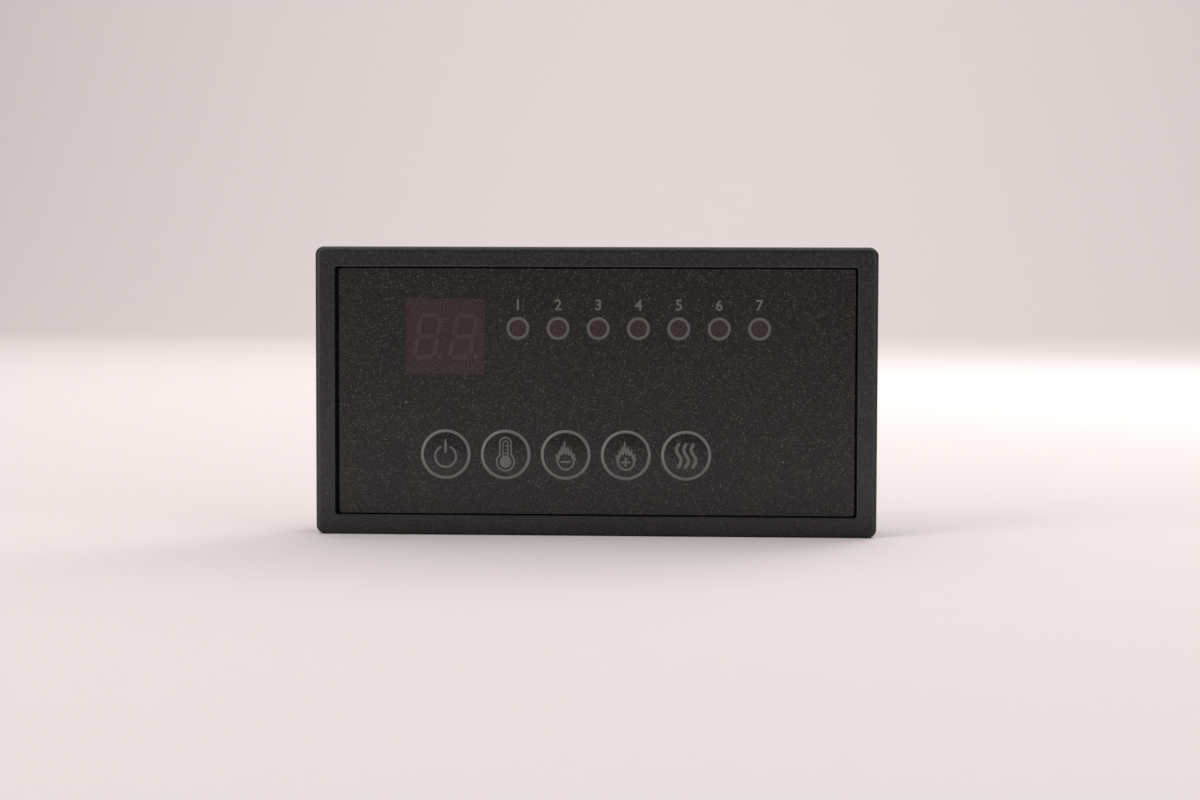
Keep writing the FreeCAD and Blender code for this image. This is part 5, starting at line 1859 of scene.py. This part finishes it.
@dataclass
class SmallParts:
    """Chip resistors and capacitors with tinned ends."""

    cap: float = 0.36
    wrap: float = 0.025
    let_in: float = 0.06
    coat_gap: float = 0.03
    coat_sunk: float = 0.005
    coat_height: float = 0.045

    def build(self) -> None:
        """Builds bodies, coats and ends."""
        bodies = {"chip_resistors": Shape(), "chip_capacitors": Shape()}
        coats, ends = Shape(), Shape()
        for node, body in bodies.items():
            for box in solids(node):
                self.part(body, ends, box)
                if node == "chip_resistors":
                    self.coat(coats, box)
            body.soften(0.05, 2)
        ends.soften(0.07, 2)
        coats.soften(0.03, 1)
        place(bodies["chip_resistors"], "resistor_bodies", Look.WHITE, Slot.CERAMIC, ["chip_resistors"])
        place(bodies["chip_capacitors"], "capacitor_bodies", Look.TAN, Slot.CERAMIC, ["chip_capacitors"])
        place(coats, "resistor_coats", Look.COAT, Slot.CERAMIC)
        place(ends, "chip_part_ends", Look.TIN, Slot.TIN)

    def part(self, body: Shape, ends: Shape, box: Box) -> None:
        """The ceramic block and the two tinned caps on it."""
        low, high = list(box.low), list(box.high)
        low[1] += self.wrap
        high[1] -= 2 * self.wrap
        axis = 2 if box.upright else 0
        low[axis] += self.let_in
        high[axis] -= self.let_in
        body.block(low, high)
        cross = 2 - axis
        for start in (box.low[axis], box.high[axis] - self.cap):
            cap_low, cap_high = list(box.low), list(box.high)
            cap_low[axis], cap_high[axis] = start, start + self.cap
            cap_low[cross] -= self.wrap
            cap_high[cross] += self.wrap
            cap_high[1] -= self.wrap
            ends.block(cap_low, cap_high)

    def coat(self, coats: Shape, box: Box) -> None:
        """The dark coat on a resistor's back."""
        axis = 2 if box.upright else 0
        low, high = list(box.low), list(box.high)
        low[1] = high[1] - 2 * self.wrap - self.coat_sunk
        high[1] = low[1] + self.coat_height
        low[axis] += self.cap + self.coat_gap
        high[axis] -= self.cap + self.coat_gap
        cross = 2 - axis
        low[cross] += self.let_in
        high[cross] -= self.let_in
        coats.block(low, high)


@dataclass
class Cans:
    """Surface-mount capacitors, two crystals and a buzzer."""

    groove_up: float = 0.7
    groove: float = 0.25
    shoulder: float = 0.4
    foot_cut: float = 1.3
    tab: tuple[float, float] = (0.7, 0.22)
    tab_half: float = 0.45
    tab_lift: float = 0.04
    tab_lap: float = 0.1
    can_gap: float = 0.08
    sides: int = 64
    lying_sides: int = 32

    def build(self) -> None:
        """Builds every round part."""
        self.capacitors()
        self.clock_crystal()
        self.watch_crystal()
        self.buzzer()

    def capacitors(self) -> None:
        """Aluminium cans on square feet, each with a dark mark on its negative side."""
        cans, marks, feet, tabs = Shape(), Shape(), Shape(), Shape()
        for box in solids("capacitor_cans"):
            radius, base, top = box.width / 2, box.front, box.back
            waist = base + self.groove_up
            neck = [(radius - self.groove * math.cos(math.radians(a)) ** 2, waist + 0.3 * a / 90.0)
                    for a in range(-90, 91, 18)]
            brow = arc(radius - self.shoulder, top - self.shoulder, self.shoulder, 0.0, 90.0, 6)
            gap, rim = self.can_gap, top - 0.05
            profile = [(0.0, base), (radius - gap, base), (radius, base + gap), *neck, *brow,
                       (radius - 0.52, top), (radius - 0.62, rim), (0.0, rim)]
            cans.turned(profile, box.x, box.z, self.sides)
            segment = arc(box.x, box.z, radius - 0.68, 212.0, 328.0, 24)
            marks.plate([segment], top - 0.06, top - 0.035)
        for box in solids("capacitor_bases"):
            half, cut = box.width / 2, box.width / 2 - self.foot_cut
            levels = []
            corners = [(-half, -half), (half, -half), (half, cut), (cut, half), (-cut, half), (-half, cut)]
            for inset, y in (
                (0.1, box.front), (0.0, box.front + 0.1), (0.0, box.back - 0.14), (0.12, box.back),
            ):
                share = (half - inset) / half
                levels.append(([(box.x + a * share, box.z + b * share) for a, b in corners], y))
            feet.stack(levels)
            for side in (-1, 1):
                reach = (box.z + side * half, box.z + side * (half + self.tab[0]))
                bottom = box.front + self.tab_lift
                low = (box.x - self.tab_half, bottom, min(reach) - self.tab_lap)
                tabs.block(low, (box.x + self.tab_half, bottom + self.tab[1], max(reach)))
        tabs.soften(0.06, 2)
        place(cans, "capacitor_drawn_cans", Look.ALUMINIUM, Slot.CAPACITOR, ["capacitor_cans"])
        place(marks, "capacitor_marks", Look.COAT, Slot.CHIP)
        place(feet, "capacitor_feet", Look.SEAL, Slot.CHIP, ["capacitor_bases"])
        place(tabs, "capacitor_tabs", Look.TIN, Slot.TIN)

    @staticmethod
    def clock_crystal() -> None:
        """A low oval can on a rim."""
        box = Box.of("clock_crystal")
        levels = [(0.06, 0.0), (0.0, 0.07), (0.0, 0.30), (0.07, 0.38), (0.34, 0.42), (0.44, 0.60)]
        bend = 0.35
        levels += [(0.47 + bend * (1 - math.cos(a)), box.back - box.front - bend + bend * math.sin(a))
                   for a in map(math.radians, range(0, 91, 18))]
        shape = Shape()
        outlines = []
        for inset, up in levels:
            corner = (box.height - 2 * inset) / 2 - 0.001
            outlines.append((box.outline(-inset, corner, 12), box.front + up))
        shape.stack(outlines)
        place(shape, "clock_crystal_can", Look.CRYSTAL, Slot.CRYSTAL, ["clock_crystal"])

    def watch_crystal(self) -> None:
        """A small can lying on the board, its glass seal and its two leads."""
        box = Box.of("watch_crystal")
        radius = box.height / 2
        axis = (box.front + box.back) / 2
        start = box.low[0] + 1.6

        def lying(shape: Shape, profile: Outline) -> Shape:
            """A profile of (x, radius) turned about the can's own line."""
            turns = [2 * math.pi * i / self.lying_sides for i in range(self.lying_sides)]
            return shape.skin([
                [(x, axis + r * math.cos(t), box.z + r * math.sin(t)) for t in turns] for x, r in profile
            ])

        end = box.high[0]
        bend = 0.3
        dome = [(end - bend + bend * math.sin(a), radius - bend + bend * math.cos(a))
                for a in map(math.radians, range(0, 91, 18))]
        can = lying(Shape(), [(start + 0.02, radius - 0.12), (start, radius - 0.05), (start + 0.06, radius),
                              (start + 0.7, radius), (start + 0.76, radius - 0.04),
                              (start + 0.9, radius - 0.04), (start + 0.96, radius), *dome])
        place(can, "watch_crystal_can", Look.CRYSTAL, Slot.CRYSTAL, ["watch_crystal"])
        seal = lying(Shape(), [(start - 0.06, radius - 0.34), (start - 0.05, radius - 0.22),
                               (start + 0.05, radius - 0.14)])
        place(seal, "watch_crystal_seal", Look.GLASS, Slot.CRYSTAL)
        leads = Shape()
        tip = box.low[0] + 0.1
        for z in (box.z - 0.5, box.z + 0.5):
            turn = arc(tip + bend, axis - bend, bend, 90.0, 180.0, 5)
            path = [(start + 0.1, axis, z), *[(x, y, z) for x, y in turn], (tip, box.front + 0.02, z)]
            leads.tube(path, 0.1, 10)
        place(leads, "watch_crystal_leads", Look.TIN, Slot.TIN)

    def buzzer(self) -> None:
        """A round sounder with a raised lip round its hole."""
        box = Box.of("buzzer")
        radius, base, top = box.width / 2, box.front, box.back
        brow = arc(radius - 0.5, top - 0.5, 0.5, 0.0, 90.0, 6)
        profile = [(0.0, base), (radius - 0.1, base), (radius, base + 0.1), (radius, base + 0.9),
                   (radius - 0.12, base + 0.98), (radius - 0.12, base + 1.12), (radius, base + 1.2), *brow,
                   (radius - 1.3, top), (radius - 1.36, top - 0.07), (radius - 1.6, top - 0.07),
                   (radius - 1.66, top), (1.1, top), (0.98, top - 0.05), (0.9, top - 0.16),
                   (0.9, top - 1.5), (0.0, top - 1.5)]
        case = Shape().turned(profile, box.x, box.z, self.sides)
        place(case, "buzzer_case", Look.BUZZER, Slot.CHIP, ["buzzer"])


@dataclass
class Header:
    """An upright wire-to-board header: a keyed open box with square pins."""

    node: str
    wall: float = 0.8
    floor: float = 1.6
    key_slot: float = 1.2
    sill: float = 1.5
    above: float = 1.0
    edge: float = 0.12

    def build(self) -> None:
        """Builds the shroud and the pins."""
        box = Box.of(self.node)
        shroud = Shape().block(box.low, box.high)
        pocket_low = (box.low[0] + self.wall, box.front + self.floor, box.low[2] + self.wall)
        pocket_high = (box.high[0] - self.wall, box.back + self.above, box.high[2] - self.wall)
        shroud.cut(Shape().block(pocket_low, pocket_high))
        for side in (-1, 1):
            z = box.z + side * (box.height / 2 - self.wall - self.key_slot)
            low = (box.low[0] - 0.5, box.front + self.floor + self.sill, z - self.key_slot / 2)
            high = (box.low[0] + self.wall + 0.3, box.back + self.above, z + self.key_slot / 2)
            shroud.cut(Shape().block(low, high))
        shroud.soften(self.edge, 3)
        place(shroud, f"{self.node}_shroud", Look.NYLON, Slot.HEADER, [self.node])
        pins = Shape()
        for pin in solids(f"{self.node}_pins"):
            levels = [(0.6, pin.front), (1.0, pin.front + 0.3), (1.0, pin.back - 0.45), (0.55, pin.back)]
            pins.stack([(rounded(pin.x, pin.z, pin.width * s, pin.width * s, 0.08 * s, 2), y)
                        for s, y in levels])
        place(pins, f"{self.node}_square_pins", Look.TIN, Slot.TIN, [f"{self.node}_pins"])


@dataclass
class Fasteners:
    """The screws that hold the board, and the plain leads that come through it."""

    core: float = 1.1
    recess: tuple[float, float, float] = (1.4, 0.34, 1.1)
    recess_taper: Point = (0.55, 0.7)
    lead_edge: float = 0.09
    sides: int = 48

    def build(self) -> None:
        """Builds the screws and the leads."""
        board = Box.of("circuit_board").back
        screws = Shape()
        for box in solids("board_screws"):
            radius, tip, top = box.width / 2, box.front, box.back
            rise = top - board
            head = [(radius - 0.06, board), (radius, board + 0.06), (radius, board + rise * 0.42),
                    (radius * 0.965, board + rise * 0.60), (radius * 0.87, board + rise * 0.80),
                    (radius * 0.70, board + rise * 0.94), (radius * 0.5, top)]
            profile = [(0.0, tip), (self.core * 0.4, tip), (self.core, tip + self.core), (self.core, board),
                       *head, (0.0, top)]
            screw = Shape().turned(profile, box.x, box.z, self.sides)
            (reach, half, depth), taper = self.recess, self.recess_taper
            bit = Shape().stack([
                (cross_outline(box.x, box.z, reach, half), top + 0.2),
                (cross_outline(box.x, box.z, reach, half), top - 0.1),
                (cross_outline(box.x, box.z, reach * taper[0], half * taper[1]), top - depth),
            ])
            screws.add(screw.cut(bit))
        screws.soften(0.05, 2, above=42.0)
        place(screws, "board_pan_screws", Look.SCREW, Slot.SCREW, ["board_screws"])
        for node in ("display_pins", "lamp_leads", "switch_terminals"):
            leads = Shape()
            for box in solids(node):
                leads.block(box.low, box.high)
            leads.soften(self.lead_edge, 2)
            place(leads, f"{node}_tinned", Look.TIN, Slot.TIN, [node])


def main() -> None:
    """Builds the studio and then the timer, one sub-assembly after another."""
    logging.basicConfig(level=logging.INFO, format="%(message)s")
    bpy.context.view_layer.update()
    studio = Studio()
    studio.camera()
    studio.floor()
    studio.lights()
    chips, headers = map(Chip, CHIPS), map(Header, HEADERS)
    boards = [CircuitBoard(), *chips, Transistors(), SmallParts(), Cans(), *headers, Fasteners()]
    for assembly in (Overlay(), Front(), *boards):
        assembly.build()


if __name__ == "__main__":
    main()
